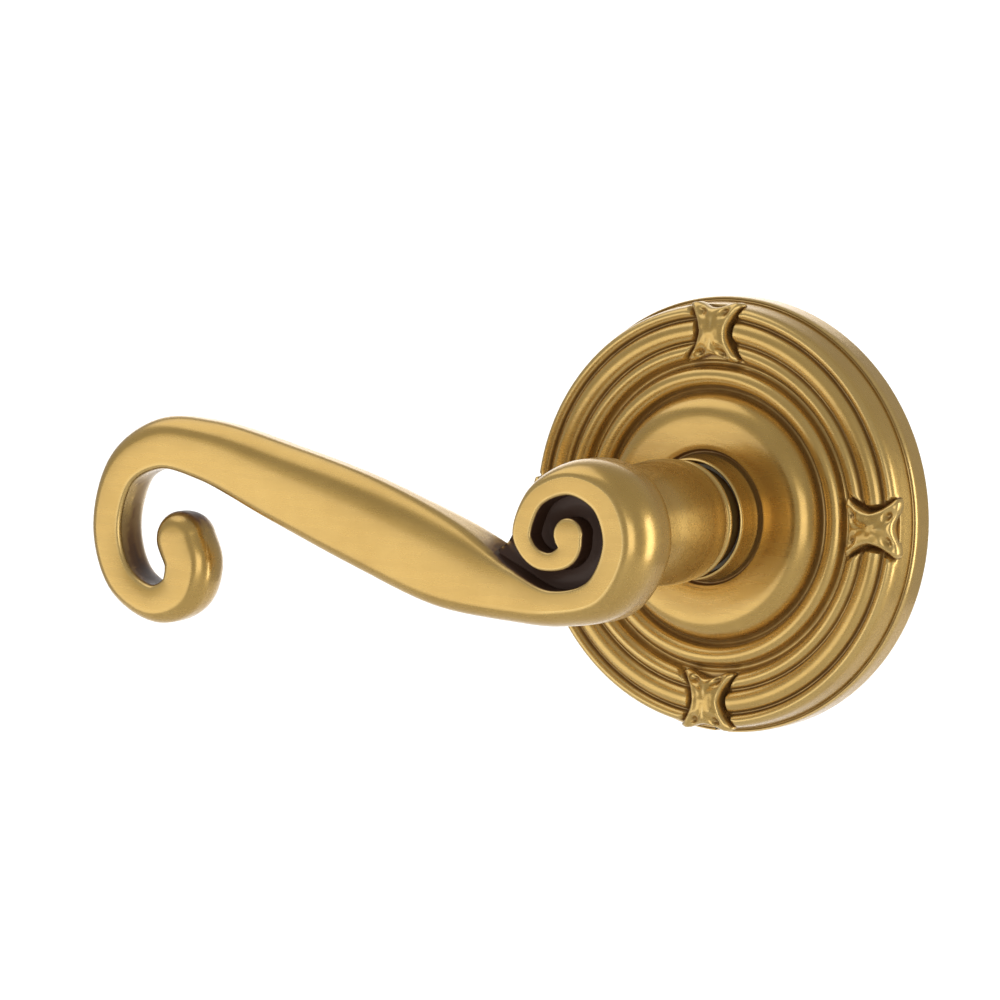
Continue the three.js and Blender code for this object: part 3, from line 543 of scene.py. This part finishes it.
def add_wire(bm, path, radius, sides=16):
    """A round wire along a path of points, in metres, closed at both ends."""
    bmesh.ops.create_circle(bm, cap_ends=True, segments=sides, radius=radius)
    ring = list(bm.verts)
    edges = list(bm.edges)
    before = Matrix.Identity(4)
    for i, place in enumerate(path):
        heading = path[min(i + 1, len(path) - 1)] - path[max(i - 1, 0)]
        side = AXIS.cross(heading).normalized()
        frame_here = Matrix((side, heading.cross(side).normalized(), heading.normalized()))
        here = Matrix.Translation(place) @ frame_here.transposed().to_4x4()
        if i > 0:
            made = bmesh.ops.extrude_edge_only(bm, edges=edges)["geom"]
            ring = [v for v in made if isinstance(v, bmesh.types.BMVert)]
            fresh = set(ring)
            edges = [e for e in made if isinstance(e, bmesh.types.BMEdge)
                     and all(v in fresh for v in e.verts)]
        bmesh.ops.transform(bm, matrix=here @ before.inverted(), verts=ring)
        before = here
    bmesh.ops.contextual_create(bm, geom=edges)


# ---- Materials -------------------------------------------------------------------------


class Shader:
    """A node material with a Principled shader, and short ways to add nodes to it."""

    def __init__(self, name):
        self.material = bpy.data.materials.new(name)
        self.material.use_nodes = True
        self.tree = self.material.node_tree
        self.surface = self.tree.nodes["Principled BSDF"]
        self.places = self.node("ShaderNodeTexCoord").outputs["Object"]

    def node(self, kind, **settings):
        made = self.tree.nodes.new(kind)
        for key, value in settings.items():
            setattr(made, key, value)
        return made

    def wire(self, source, target):
        self.tree.links.new(source, target)

    def put(self, socket, value):
        if isinstance(value, bpy.types.NodeSocket):
            self.wire(value, socket)
        else:
            socket.default_value = value

    def noise(self, scale, detail=3.0, roughness=0.55, vector=None):
        made = self.node("ShaderNodeTexNoise")
        made.inputs["Scale"].default_value = scale
        made.inputs["Detail"].default_value = detail
        made.inputs["Roughness"].default_value = roughness
        self.wire(vector or self.places, made.inputs["Vector"])
        return made.outputs["Fac"]

    def stretched(self, scale):
        made = self.node("ShaderNodeMapping")
        made.inputs["Scale"].default_value = scale
        self.wire(self.places, made.inputs["Vector"])
        return made.outputs["Vector"]

    def attribute(self, name):
        made = self.node("ShaderNodeAttribute", attribute_name=name)
        return made.outputs["Fac"]

    def math(self, operation, *values):
        made = self.node("ShaderNodeMath", operation=operation)
        for socket, value in zip(made.inputs, values):
            self.put(socket, value)
        return made.outputs["Value"]

    def ranged(self, value, low, high, to_low=0.0, to_high=1.0, smooth=False):
        made = self.node("ShaderNodeMapRange")
        if smooth:
            made.interpolation_type = "SMOOTHSTEP"
        for key, number in (
            ("Value", value), ("From Min", low), ("From Max", high),
            ("To Min", to_low), ("To Max", to_high),
        ):
            self.put(made.inputs[key], number)
        return made.outputs["Result"]

    def mixed(self, share, one, two):
        made = self.node("ShaderNodeMix", data_type="RGBA")
        self.put(made.inputs["Factor"], share)
        self.put(made.inputs["A"], one if isinstance(one, bpy.types.NodeSocket) else (*one, 1))
        self.put(made.inputs["B"], two if isinstance(two, bpy.types.NodeSocket) else (*two, 1))
        return made.outputs["Result"]

    def bump(self, height, strength, distance, before=None):
        made = self.node("ShaderNodeBump")
        made.inputs["Strength"].default_value = strength
        made.inputs["Distance"].default_value = distance
        self.wire(height, made.inputs["Height"])
        if before:
            self.wire(before, made.inputs["Normal"])
        return made.outputs["Normal"]

    def set(self, **values):
        for key, value in values.items():
            self.put(self.surface.inputs[key.replace("_", " ")], value)


def aged_brass(name, finish, turned=False):
    """Antique brass: polished high parts, brown patina in the hollows, a thin lacquer, and convex
    edges painted lighter, partly as rubbed-bright metal and partly as a painted highlight.
    """
    shader = Shader(name)
    mottle = shader.noise(260, 4.0, 0.6)
    cloud = shader.noise(70, 2.0, 0.5)
    grain = shader.noise(5200, 2.0, 0.5)
    brushed = shader.noise(900, 3.0, 0.6, shader.stretched((0.12, 1.0, 1.0)))
    tone = shader.ranged(shader.math("ADD", mottle, cloud), 0.6, 1.5)
    metal = shader.mixed(tone, finish.brass, finish.brass_deep)
    # Convex edges turn lighter: partly rubbed metal, partly a painted highlight.
    edge_wear_and_highlight = shader.attribute("wear_and_highlight")
    metal = shader.mixed(
        shader.math("MULTIPLY", edge_wear_and_highlight, 0.45), metal, WORN_AND_HIGHLIT_BRASS,
    )
    broken = shader.math("MULTIPLY_ADD", mottle, 0.14, -0.07)
    hollow = shader.math("ADD", shader.attribute("hollowness"), broken)
    stain = shader.ranged(hollow, 0.3, 0.66, smooth=True)
    haze = shader.ranged(hollow, 0.1, 0.42, 0.0, 0.55, smooth=True)
    warm = shader.mixed(haze, metal, HAZE)
    colour = shader.mixed(stain, warm, finish.patina)
    if not turned:
        # The most enclosed hollows of the cast brass go darker still: patina with painted shade.
        deepest_patina_and_shade = shader.ranged(hollow, 0.5, 0.85, smooth=True)
        colour = shader.mixed(deepest_patina_and_shade, colour, DEEPEST_PATINA_AND_SHADE)
    rough = shader.ranged(brushed, 0.3, 0.75, 0.25, 0.31)
    rough = shader.math("MULTIPLY_ADD", stain, 0.22, rough)
    metallic = shader.ranged(stain, 0.0, 1.0, 0.84, 0.3)
    bumped = shader.bump(grain, 0.05, 0.02 * MM)
    bumped = shader.bump(mottle, 0.1, 0.04 * MM, bumped)
    if turned:
        parts = shader.node("ShaderNodeSeparateXYZ")
        shader.wire(shader.places, parts.inputs[0])
        flat = shader.math(
            "ADD",
            shader.math("MULTIPLY", parts.outputs["X"], parts.outputs["X"]),
            shader.math("MULTIPLY", parts.outputs["Z"], parts.outputs["Z"]),
        )
        around = shader.node("ShaderNodeCombineXYZ")
        shader.wire(shader.math("SQRT", flat), around.inputs["X"])
        shader.wire(parts.outputs["Y"], around.inputs["Y"])
        rings = shader.noise(2600, 2.0, 0.5, around.outputs["Vector"])
        bumped = shader.bump(rings, 0.12, 0.03 * MM, bumped)
    shader.set(
        Base_Color=colour, Metallic=metallic, Roughness=rough, Normal=bumped,
        Coat_Weight=shader.ranged(stain, 0.0, 1.0, 0.55, 0.12), Coat_Roughness=0.14, Coat_IOR=1.5,
    )
    return shader.material


def plated_steel(name, colour, roughness, streak=1.0):
    """Plated or bare steel with cloudy tone, rolling marks and fine pitting."""
    shader = Shader(name)
    cloud = shader.noise(180, 4.0, 0.6)
    marks = shader.noise(1500, 2.0, 0.5, shader.stretched((1.0, 0.08, streak)))
    pits = shader.noise(6000, 2.0, 0.5)
    dark = [c * 0.72 for c in colour]
    light = [min(1, c * 1.12) for c in colour]
    tone = shader.mixed(shader.ranged(cloud, 0.35, 0.68), dark, light)
    dusty = shader.ranged(shader.attribute("hollowness"), 0.15, 0.75, smooth=True)
    tone = shader.mixed(dusty, tone, [c * 0.25 for c in colour])
    rough = shader.ranged(marks, 0.3, 0.7, roughness - 0.06, roughness + 0.1)
    bumped = shader.bump(pits, 0.12, 0.02 * MM)
    bumped = shader.bump(marks, 0.15, 0.03 * MM, bumped)
    shader.set(Base_Color=tone, Metallic=1.0, Roughness=rough, Normal=bumped)
    return shader.material


def moulded_nylon(name, colour):
    """Natural nylon, waxy, with a little grease in its corners."""
    shader = Shader(name)
    cloud = shader.noise(300, 3.0, 0.5)
    fine = shader.noise(4500, 2.0, 0.5)
    tone = shader.mixed(shader.ranged(cloud, 0.3, 0.7), [c * 0.85 for c in colour], colour)
    grease = shader.ranged(shader.attribute("hollowness"), 0.1, 0.55, smooth=True)
    tone = shader.mixed(grease, tone, (0.05, 0.035, 0.02))
    rough = shader.ranged(fine, 0.3, 0.7, 0.42, 0.55)
    shader.set(
        Base_Color=tone, Roughness=rough, Normal=shader.bump(fine, 0.1, 0.02 * MM),
    )
    return shader.material


def material_of(name):
    """The finish of that name, which has to be made before the pieces."""
    made = bpy.data.materials.get(name)
    if made is None:
        raise RuntimeError("the finishes are made first: " + name)
    return made


# ---- Operators -------------------------------------------------------------------------


class DOORLEVER_OT_finishes(bpy.types.Operator):
    """Makes the metals and the nylon that the pieces are given"""

    bl_idname = "door_lever.finishes"
    bl_label = "Make Finishes"

    def execute(self, context):
        finish = context.scene.door_lever_finish
        aged_brass("cast_brass", finish)
        aged_brass("turned_brass", finish, turned=True)
        plated_steel("zinc_steel", finish.zinc, 0.34)
        plated_steel("tempered_steel", finish.spring_steel, 0.32, streak=0.3)
        plated_steel("blackened_steel", finish.black_steel, 0.42)
        moulded_nylon("natural_nylon", finish.nylon)
        return {"FINISHED"}


class DOORLEVER_OT_scroll(bpy.types.Operator):
    """Builds the scroll: the swept bar with its two eyes, and the floor of the channel"""

    bl_idname = "door_lever.scroll"
    bl_label = "Build Scroll"

    def execute(self, context):
        sizes = context.scene.door_lever_sizes
        bm = bmesh.new()
        rows = even_rows(BAR, sizes.bar_step / MM)
        sections = [bar_section(row, sizes.back_edge / MM) for row in rows]
        first, last = add_swept(bm, rows, sections)
        for loop, row, angle in ((first, BAR[0], -math.pi), (last, BAR[-1], math.pi)):
            add_round_end(bm, loop, Vector((row[0], 0, row[1])) * MM, angle, 40)
        bmesh.ops.remove_doubles(bm, verts=bm.verts, dist=0.004 * MM)
        depth, hollow = sizes.channel_depth / MM, sizes.channel_hollow / MM
        floor_rows = even_rows(CHANNEL, 0.5)
        floor = []
        for row in floor_rows:
            half = row[2] + 0.7
            front = [(half * (1 - i / 6), depth - hollow * (1 - i / 6) ** 2) for i in range(13)]
            floor.append(front + [(-half, 7.5), (half, 7.5)])
        start, end = add_swept(bm, floor_rows, floor)
        bmesh.ops.contextual_create(bm, geom=start)
        bmesh.ops.contextual_create(bm, geom=end)
        add_spun(bm, HEAD_BOSS, 96, closed=False)
        mesh = finish_mesh(bm, "lever_scroll_fine", merge=0.002 * MM, crease=math.radians(50))
        place_piece(
            "lever_scroll_fine", mesh, material_of("cast_brass"), "antique_brass",
            "lever", "lever_scroll",
        )
        return {"FINISHED"}


class DOORLEVER_OT_neck(bpy.types.Operator):
    """Builds the turned neck, with its bore, key flats and set screw hole"""

    bl_idname = "door_lever.neck"
    bl_label = "Build Neck"

    def execute(self, context):
        sizes = context.scene.door_lever_sizes
        bm = bmesh.new()
        add_spun(bm, run_points(NECK_RUNS, 0.35), sizes.neck_steps, closed=False)
        solid = finish_mesh(bm, "neck_solid")
        half = SPINDLE_HOLE / 2
        cutters = [
            box_mesh((-half, SPINDLE_HOLE_END, -half), (half, 3, half)),
            rod_mesh(2.55, (0, NECK_SCREW_Y, 0), (0, NECK_SCREW_Y, -12)),
            box_mesh((KEY_FLAT, CAM_FRONT, -9), (9, 3, 9)),
            box_mesh((-9, CAM_FRONT, -9), (-KEY_FLAT, 3, 9)),
        ]
        mesh = cut_mesh(solid, *cutters)
        place_piece(
            "lever_neck_fine", mesh, material_of("turned_brass"), "antique_brass",
            "lever", "lever_neck",
        )
        return {"FINISHED"}


def knot_half_width(along):
    """Half width of a ribbon knot, in millimetres, at a place from -1 to 1 along it."""
    return 2.5 + 2.35 * abs(along) ** 1.6


class DOORLEVER_OT_rosette(bpy.types.Operator):
    """Builds the rosette: collar, dome, ring bead, reeds and rim, cut away at the knots"""

    bl_idname = "door_lever.rosette"
    bl_label = "Build Rosette"

    def execute(self, context):
        sizes = context.scene.door_lever_sizes
        bm = bmesh.new()
        profile = run_points(ROSE_RUNS, 0.17) + [list(p) for p in ROSE_INSIDE]
        add_spun(bm, profile, sizes.rosette_steps, closed=True)
        self.lower_reeds(bm, sizes)
        mesh = finish_mesh(bm, "rosette_fine", crease=math.radians(60))
        mesh = cut_mesh(
            mesh, rod_mesh(1.55, (0, ROSE_SCREW_Y, -30), (0, ROSE_SCREW_Y, -35)),
        )
        place_piece(
            "rosette_fine", mesh, material_of("turned_brass"), "antique_brass",
            "base", "rosette",
        )
        return {"FINISHED"}

    @staticmethod
    def lower_reeds(bm, sizes):
        """Sinks the reeds into a hollow all round each knot."""
        floor = (GROOVE_PLANE + KNOT_HOLLOW_RISE) * MM
        for vert in bm.verts:
            radius = math.hypot(vert.co.x, vert.co.z) / MM
            if not 23.3 < radius < 32.3 or vert.co.y > floor:
                continue
            angle = math.atan2(vert.co.z, vert.co.x)
            nearest = round(angle / (math.pi / 2)) * math.pi / 2
            across = abs(math.sin(angle - nearest)) * radius
            along = math.cos(angle - nearest) * radius - KNOT_MIDDLE
            along /= KNOT_HOLLOW_REACH
            if abs(along) > 1.1:
                continue
            edge = knot_half_width(along) + sizes.knot_gap / MM
            share = min(1.0, max(0.0, (edge + 0.55 - across) / 0.9))
            share = share * share * (3 - 2 * share)
            vert.co.y += (floor - vert.co.y) * share


class DOORLEVER_OT_knots(bpy.types.Operator):
    """Builds the four ribbon knots across the reeds"""

    bl_idname = "door_lever.knots"
    bl_label = "Build Knots"

    def execute(self, context):
        sizes = context.scene.door_lever_sizes
        for i, name in enumerate(("right", "top", "left", "bottom")):
            mesh = self.knot(sizes, i)
            place_piece(
                "ribbon_knot_" + name, mesh, material_of("cast_brass"), "antique_brass",
                "base", "rosette",
            )
        return {"FINISHED"}

    @staticmethod
    def knot(sizes, index):
        """One knot: a grid shaped into four lobes, with a skirt down to the grooves."""
        bm = bmesh.new()
        count = 44
        bmesh.ops.create_grid(bm, x_segments=count, y_segments=count, size=1.0)
        length, rise = sizes.knot_length / MM / 2, sizes.knot_rise / MM
        lean = (-1) ** index * 0.12
        for vert in bm.verts:
            across, along = vert.co.x, vert.co.y
            # The outline: notched ends, pinched sides and a slight lean.
            notch = (1.45 if along < 0 else 1.0) * math.cos(across * math.pi / 2) ** 2
            corner = 0.55 * abs(across) ** 6
            reach = length - (notch + corner) * abs(along) ** 3
            radial = along * reach
            half = knot_half_width(along) * (1 - 0.1 * abs(along) ** 8)
            side = across * half + lean * along * 1.5
            # The relief: a pit in each lobe, creases towards the corners and rolled edges.
            lobe = Vector((abs(across) - 0.52, abs(along) - 0.68))
            dimple = math.exp(-((lobe.x / 0.17) ** 2 + (lobe.y / 0.15) ** 2))
            crease = math.exp(-((abs(across) - 0.5 * abs(along)) / 0.16) ** 2)
            crease *= min(1.0, abs(along) * 2.2)
            crown = 1 - 0.26 * across ** 2 - 0.42 * along ** 2
            edge = (1 - abs(across) ** 9) * (1 - abs(along) ** 11)
            rolled = 0.16 * math.exp(-((abs(across) - 0.86) / 0.1) ** 2)
            height = rise * (crown * (0.42 + 0.58 * edge)) + rolled * edge
            height -= 0.95 * dimple + 0.16 * crease
            wave = noise.noise(Vector((side * 0.9, radial * 0.9, index * 7.3)))
            height += 0.1 * wave
            vert.co = Vector((side, -height, radial))
        border = [e for e in bm.edges if e.is_boundary]
        made = bmesh.ops.extrude_edge_only(bm, edges=border)["geom"]
        skirt = [v for v in made if isinstance(v, bmesh.types.BMVert)]
        for vert in skirt:
            vert.co.y = KNOT_SKIRT
            vert.co.x *= 1.03
        low = [e for e in made if isinstance(e, bmesh.types.BMEdge)
               and all(v in set(skirt) for v in e.verts)]
        bmesh.ops.contextual_create(bm, geom=low)
        angle = index * math.pi / 2
        for vert in bm.verts:
            side, height, radial = vert.co
            reach = KNOT_MIDDLE + radial
            vert.co = Vector((
                reach * math.cos(angle) - side * math.sin(angle),
                GROOVE_PLANE + height,
                reach * math.sin(angle) + side * math.cos(angle),
            )) * MM
        return finish_mesh(bm, "ribbon_knot", crease=math.radians(75))


class DOORLEVER_OT_spring(bpy.types.Operator):
    """Winds the return spring, which turns from the cage at one end to the lever at the other"""

    bl_idname = "door_lever.spring"
    bl_label = "Build Return Spring"

    def execute(self, context):
        low, high = (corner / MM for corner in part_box("return_spring"))
        wire = context.scene.door_lever_sizes.wire_radius / MM
        coil = high.x - wire
        front, back = low.y + wire, high.y - wire
        # Rows of x, z, y: the fixed leg, the coil and the leg that the lever pushes.
        rows = [(low.x + 0.3, 0.0, front), (-coil - 1.5, -0.05, front)]
        count = 60
        for i in range(count + 1):
            share = i / count
            angle = math.pi + 0.1 + share * (SPRING_TURNS * TURN - 0.1)
            rows.append((
                coil * math.cos(angle), coil * math.sin(angle), front + share * (back - front),
            ))
        lean = math.pi / 2 + 0.05
        reach = high.z - 0.2
        rows.append((reach * math.cos(lean), reach * math.sin(lean), back))
        path = [Vector((x, y, z)) * MM for x, z, y in even_rows(rows, 0.45)]
        bm = bmesh.new()
        add_wire(bm, path, wire * MM)
        mesh = finish_mesh(bm, "return_spring_fine")
        mesh.materials.append(material_of("tempered_steel"))
        spring = bpy.data.objects.new("return_spring_fine", mesh)
        context.scene.collection.objects.link(spring)
        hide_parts("return_spring")
        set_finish(spring, "spring_steel")
        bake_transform(spring)
        return {"FINISHED"}


class DOORLEVER_OT_bolts(bpy.types.Operator):
    """Builds the two through bolts with a cut thread and a cross recess"""

    bl_idname = "door_lever.bolts"
    bl_label = "Build Through Bolts"

    def execute(self, context):
        pitch = context.scene.door_lever_sizes.thread_pitch / MM
        for name in ("through_bolt_top", "through_bolt_bottom"):
            low, high = (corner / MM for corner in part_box(name))
            middle = (low.z + high.z) / 2
            mesh = self.bolt(name, low.y, high.y, high.x, pitch, middle)
            reach, start, end = high.x * 0.6, low.y - 1, low.y + RECESS_DEPTH
            slots = [
                box_mesh((-wide, start, middle - tall), (wide, end, middle + tall))
                for wide, tall in ((reach, RECESS_HALF), (RECESS_HALF, reach))
            ]
            place_piece(
                name + "_fine", cut_mesh(mesh, *slots), material_of("zinc_steel"),
                "zinc_plate", "base", name,
            )
        return {"FINISHED"}

    @staticmethod
    def bolt(name, top, tip, head, pitch, middle):
        """A bolt from the top of its head to its tip, with a helical thread on its shank."""
        radius, neck, seat = BOLT_RADIUS, THREAD_START, top + BOLT_HEAD_HEIGHT
        profile = [(0, top), (head - 1.3, top), (head - 0.7, top + 0.12), (head - 0.2, top + 0.5)]
        profile += [(head, top + 1.1), (head, seat - 0.15), (head - 0.15, seat)]
        profile += [(radius + 0.2, seat), (radius, seat + 0.2), (radius, neck - 0.4)]
        steps = round((tip - 0.6 - neck) / pitch * THREAD_ROWS)
        profile += [(radius, neck + i * pitch / THREAD_ROWS) for i in range(steps + 1)]
        profile += [(radius - 0.7, tip), (0, tip)]
        bm = bmesh.new()
        add_spun(bm, profile, 36, closed=False)
        for vert in bm.verts:
            y = vert.co.y / MM
            if not neck < y < tip - 0.3:
                continue
            angle = math.atan2(vert.co.z, vert.co.x)
            phase = (y / pitch + angle / TURN) % 1
            cut = THREAD_DEPTH * (1 - abs(2 * phase - 1)) * min(1, (y - neck) / 0.8)
            share = 1 - cut / radius
            vert.co.x *= share
            vert.co.z *= share
        bmesh.ops.translate(bm, verts=bm.verts, vec=(0, 0, middle * MM))
        return finish_mesh(bm, name, crease=math.radians(35))


class DOORLEVER_OT_fittings(bpy.types.Operator):
    """Gives the carried-over fittings their finishes and eased edges"""

    bl_idname = "door_lever.fittings"
    bl_label = "Finish Fittings"

    def execute(self, context):
        finishes = {
            "zinc_plate": "zinc_steel", "spring_steel": "tempered_steel",
            "black_steel": "blackened_steel", "nylon": "natural_nylon",
            "antique_brass": "cast_brass",
        }
        for name, piece in frame["nodes"].items():
            own = piece.data.materials[0].name
            chosen = finishes.get(own.split(".")[0])
            if chosen is None:
                raise RuntimeError("no finish for " + own)
            piece.data.materials[0] = material_of(chosen)
            weld = piece.modifiers.new("weld", "WELD")
            weld.merge_threshold = 0.002 * MM
            ease = piece.modifiers.new("ease", "BEVEL")
            ease.width = 0.08 * MM
            ease.segments = 2
            ease.limit_method = "ANGLE"
            ease.angle_limit = math.radians(40)
        return {"FINISHED"}


def hemisphere(count):
    """Evenly spread directions over the half space about +Z, denser near the top."""
    golden = math.pi * (3 - math.sqrt(5))
    rays = []
    for i in range(count):
        share = (i + 0.5) / count
        flat = math.sqrt(share)
        rays.append(Vector((
            flat * math.cos(i * golden), flat * math.sin(i * golden), math.sqrt(1 - share),
        )))
    return rays


class DOORLEVER_OT_patina(bpy.types.Operator):
    """Works out how deep each point of the brass lies in a hollow, and its convex edges, which
    are painted lighter partly as rubbed metal and partly as a painted highlight
    """

    bl_idname = "door_lever.patina"
    bl_label = "Age Brass"

    def execute(self, context):
        rays = hemisphere(30)
        pieces = [o for o in bpy.data.objects if o.get("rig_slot") == "antique_brass"]
        verts, faces = [], []
        for piece in pieces:
            base = len(verts)
            verts.extend(v.co.copy() for v in piece.data.vertices)
            faces.extend([base + i for i in p.vertices] for p in piece.data.polygons)
        tree = BVHTree.FromPolygons(verts, faces)
        for piece in pieces:
            wide = piece.name.startswith("lever_scroll")
            reach, gain = (LONG_REACH, LONG_GAIN) if wide else (SHORT_REACH, 1.0)
            self.hollowness(piece.data, tree, rays, reach * MM, gain)
            self.wear_and_highlight(piece.data)
        return {"FINISHED"}

    @staticmethod
    def hollowness(mesh, tree, rays, reach, gain):
        """Keeps how closed in each vertex is, from 0 in the open to 1 in a deep hollow."""
        values = []
        for vert in mesh.vertices:
            normal = vert.normal
            turn = normal.to_track_quat("Z", "Y").to_matrix()
            start = vert.co + normal * (0.03 * MM)
            total = 0.0
            for ray in rays:
                distance = tree.ray_cast(start, turn @ ray, reach)[3]
                if distance is not None:
                    total += max(0.0, 1 - (distance / reach) ** 2)
            values.append(min(1.0, total / len(rays) * gain))
        attribute = mesh.attributes.new("hollowness", "FLOAT", "POINT")
        attribute.data.foreach_set("value", values)

    @staticmethod
    def wear_and_highlight(mesh):
        """Keeps how sharply the surface bends outwards at each vertex, where the brass is painted
        lighter as rubbed metal and as a painted highlight.
        """
        sharpest = [0.0] * len(mesh.vertices)
        points = [v.co for v in mesh.vertices]
        normals = [v.normal for v in mesh.vertices]
        for edge in mesh.edges:
            a, b = edge.vertices
            way = points[b] - points[a]
            length = way.length
            if length < 1e-7:
                continue
            bend = (normals[b] - normals[a]).dot(way) / (length * length)
            for i in (a, b):
                sharpest[i] = max(sharpest[i], bend)
        values = [min(1.0, max(0.0, (bend * MM - 0.25) / 1.2)) for bend in sharpest]
        attribute = mesh.attributes.new("wear_and_highlight", "FLOAT", "POINT")
        attribute.data.foreach_set("value", values)


CAMERA_RIGHT = Vector((0.8241, 0.5663, 0.0155))
CAMERA_UP = Vector((-0.0607, 0.0611, 0.9963))
CAMERA_BACK = Vector((0.5633, -0.8219, 0.0847))
AWAY = Vector((-CAMERA_BACK.x, -CAMERA_BACK.y, 0)).normalized()
CAMERA_PLACE = Vector((0.3676, -0.6011, 0.0613))


def add_light(name, place, target, size, power):
    """A soft rectangular light that points at a target."""
    data = bpy.data.lights.new(name, "AREA")
    data.shape = "RECTANGLE"
    data.size, data.size_y = size
    data.energy = power
    lamp = bpy.data.objects.new(name, data)
    bpy.context.scene.collection.objects.link(lamp)
    lamp.location = place
    lamp.rotation_euler = (Vector(target) - Vector(place)).to_track_quat("-Z", "Y").to_euler()


class DOORLEVER_OT_stage(bpy.types.Operator):
    """Sets up the pale backdrop, the soft lights and the camera"""

    bl_idname = "door_lever.stage"
    bl_label = "Set Stage"

    def execute(self, context):
        self.backdrop()
        self.lights()
        self.camera(context.scene)
        context.scene.view_settings.view_transform = "Standard"
        return {"FINISHED"}

    @staticmethod
    def backdrop():
        across = Vector((-AWAY.y, AWAY.x, 0))
        start, floor, wall, rise, bend = -2.6, -0.35, 1.3, 2.4, 0.6
        half = 0.65
        profile = [(start, floor)]
        for i in range(13):
            angle = math.pi / 2 * i / 12
            profile.append((
                wall - bend + bend * math.sin(angle), floor + bend * (1 - math.cos(angle)),
            ))
        profile.append((wall, rise))
        bm = bmesh.new()
        verts = [bm.verts.new(AWAY * d + Vector((0, 0, z)) - across * half) for d, z in profile]
        edges = [bm.edges.new(pair) for pair in zip(verts, verts[1:])]
        made = bmesh.ops.extrude_edge_only(bm, edges=edges)["geom"]
        moved = [v for v in made if isinstance(v, bmesh.types.BMVert)]
        bmesh.ops.translate(bm, verts=moved, vec=across * 2 * half)
        mesh = finish_mesh(bm, "backdrop")
        shader = Shader("pale_paper")
        fibre = shader.noise(60, 3.0, 0.5)
        shader.set(
            Base_Color=shader.mixed(fibre, (0.9, 0.9, 0.9), (0.93, 0.93, 0.93)), Roughness=0.9,
        )
        mesh.materials.append(shader.material)
        sweep = bpy.data.objects.new("backdrop", mesh)
        bpy.context.scene.collection.objects.link(sweep)

    @staticmethod
    def lights():
        centre = (-0.02, -0.02, 0.0)
        add_light("top_box", (-0.6, -0.3, 0.95), centre, (1.1, 0.9), 2.8)
        add_light("front_box", (-0.8, -1.05, -0.42), centre, (1.2, 0.85), 3.3)
        add_light("near_box", (0.85, -1.0, -0.1), centre, (0.8, 0.9), 3.4)
        add_light("right_strip", (1.0, 0.42, -0.05), centre, (0.4, 0.9), 3.4)
        wall = AWAY * 1.3 + Vector((0, 0, 0.15))
        add_light("back_wash", AWAY * 0.6 + Vector((0, 0, 0.6)), wall, (1.0, 0.3), 8)
        world = bpy.data.worlds.new("studio")
        world.use_nodes = True
        sky = world.node_tree.nodes["Background"]
        sky.inputs["Color"].default_value = (1.0, 0.99, 0.97, 1)
        sky.inputs["Strength"].default_value = 0.4
        bpy.context.scene.world = world

    @staticmethod
    def camera(scene):
        data = bpy.data.cameras.new("camera")
        data.lens = 166.3
        data.sensor_width = 36
        camera = bpy.data.objects.new("camera", data)
        scene.collection.objects.link(camera)
        turn = Matrix((CAMERA_RIGHT, CAMERA_UP, CAMERA_BACK)).transposed().to_4x4()
        camera.matrix_world = Matrix.Translation(CAMERA_PLACE) @ turn
        scene.camera = camera


class DOORLEVER_PT_panel(bpy.types.Panel):
    """Lists the sizes, the colours and the steps of the build"""

    bl_idname = "DOORLEVER_PT_panel"
    bl_label = "Door Lever"
    bl_space_type = "VIEW_3D"
    bl_region_type = "UI"
    bl_category = "Door Lever"

    def draw(self, context):
        column = self.layout.column()
        for group in (context.scene.door_lever_sizes, context.scene.door_lever_finish):
            for name in group.__annotations__:
                column.prop(group, name)
        for step in STEPS:
            column.operator(step.bl_idname)


STEPS = (
    DOORLEVER_OT_finishes,
    DOORLEVER_OT_scroll,
    DOORLEVER_OT_neck,
    DOORLEVER_OT_rosette,
    DOORLEVER_OT_knots,
    DOORLEVER_OT_spring,
    DOORLEVER_OT_bolts,
    DOORLEVER_OT_fittings,
    DOORLEVER_OT_patina,
    DOORLEVER_OT_stage,
)
CLASSES = (DoorLeverSizes, DoorLeverFinish, *STEPS, DOORLEVER_PT_panel)


def register():
    for cls in CLASSES:
        bpy.utils.register_class(cls)
    bpy.types.Scene.door_lever_sizes = bpy.props.PointerProperty(type=DoorLeverSizes)
    bpy.types.Scene.door_lever_finish = bpy.props.PointerProperty(type=DoorLeverFinish)


def unregister():
    del bpy.types.Scene.door_lever_finish
    del bpy.types.Scene.door_lever_sizes
    for cls in reversed(CLASSES):
        bpy.utils.unregister_class(cls)


def main():
    register()
    for step in STEPS:
        group, name = step.bl_idname.split(".")
        getattr(getattr(bpy.ops, group), name)()
    bpy.context.view_layer.update()


if __name__ == "__main__":
    main()
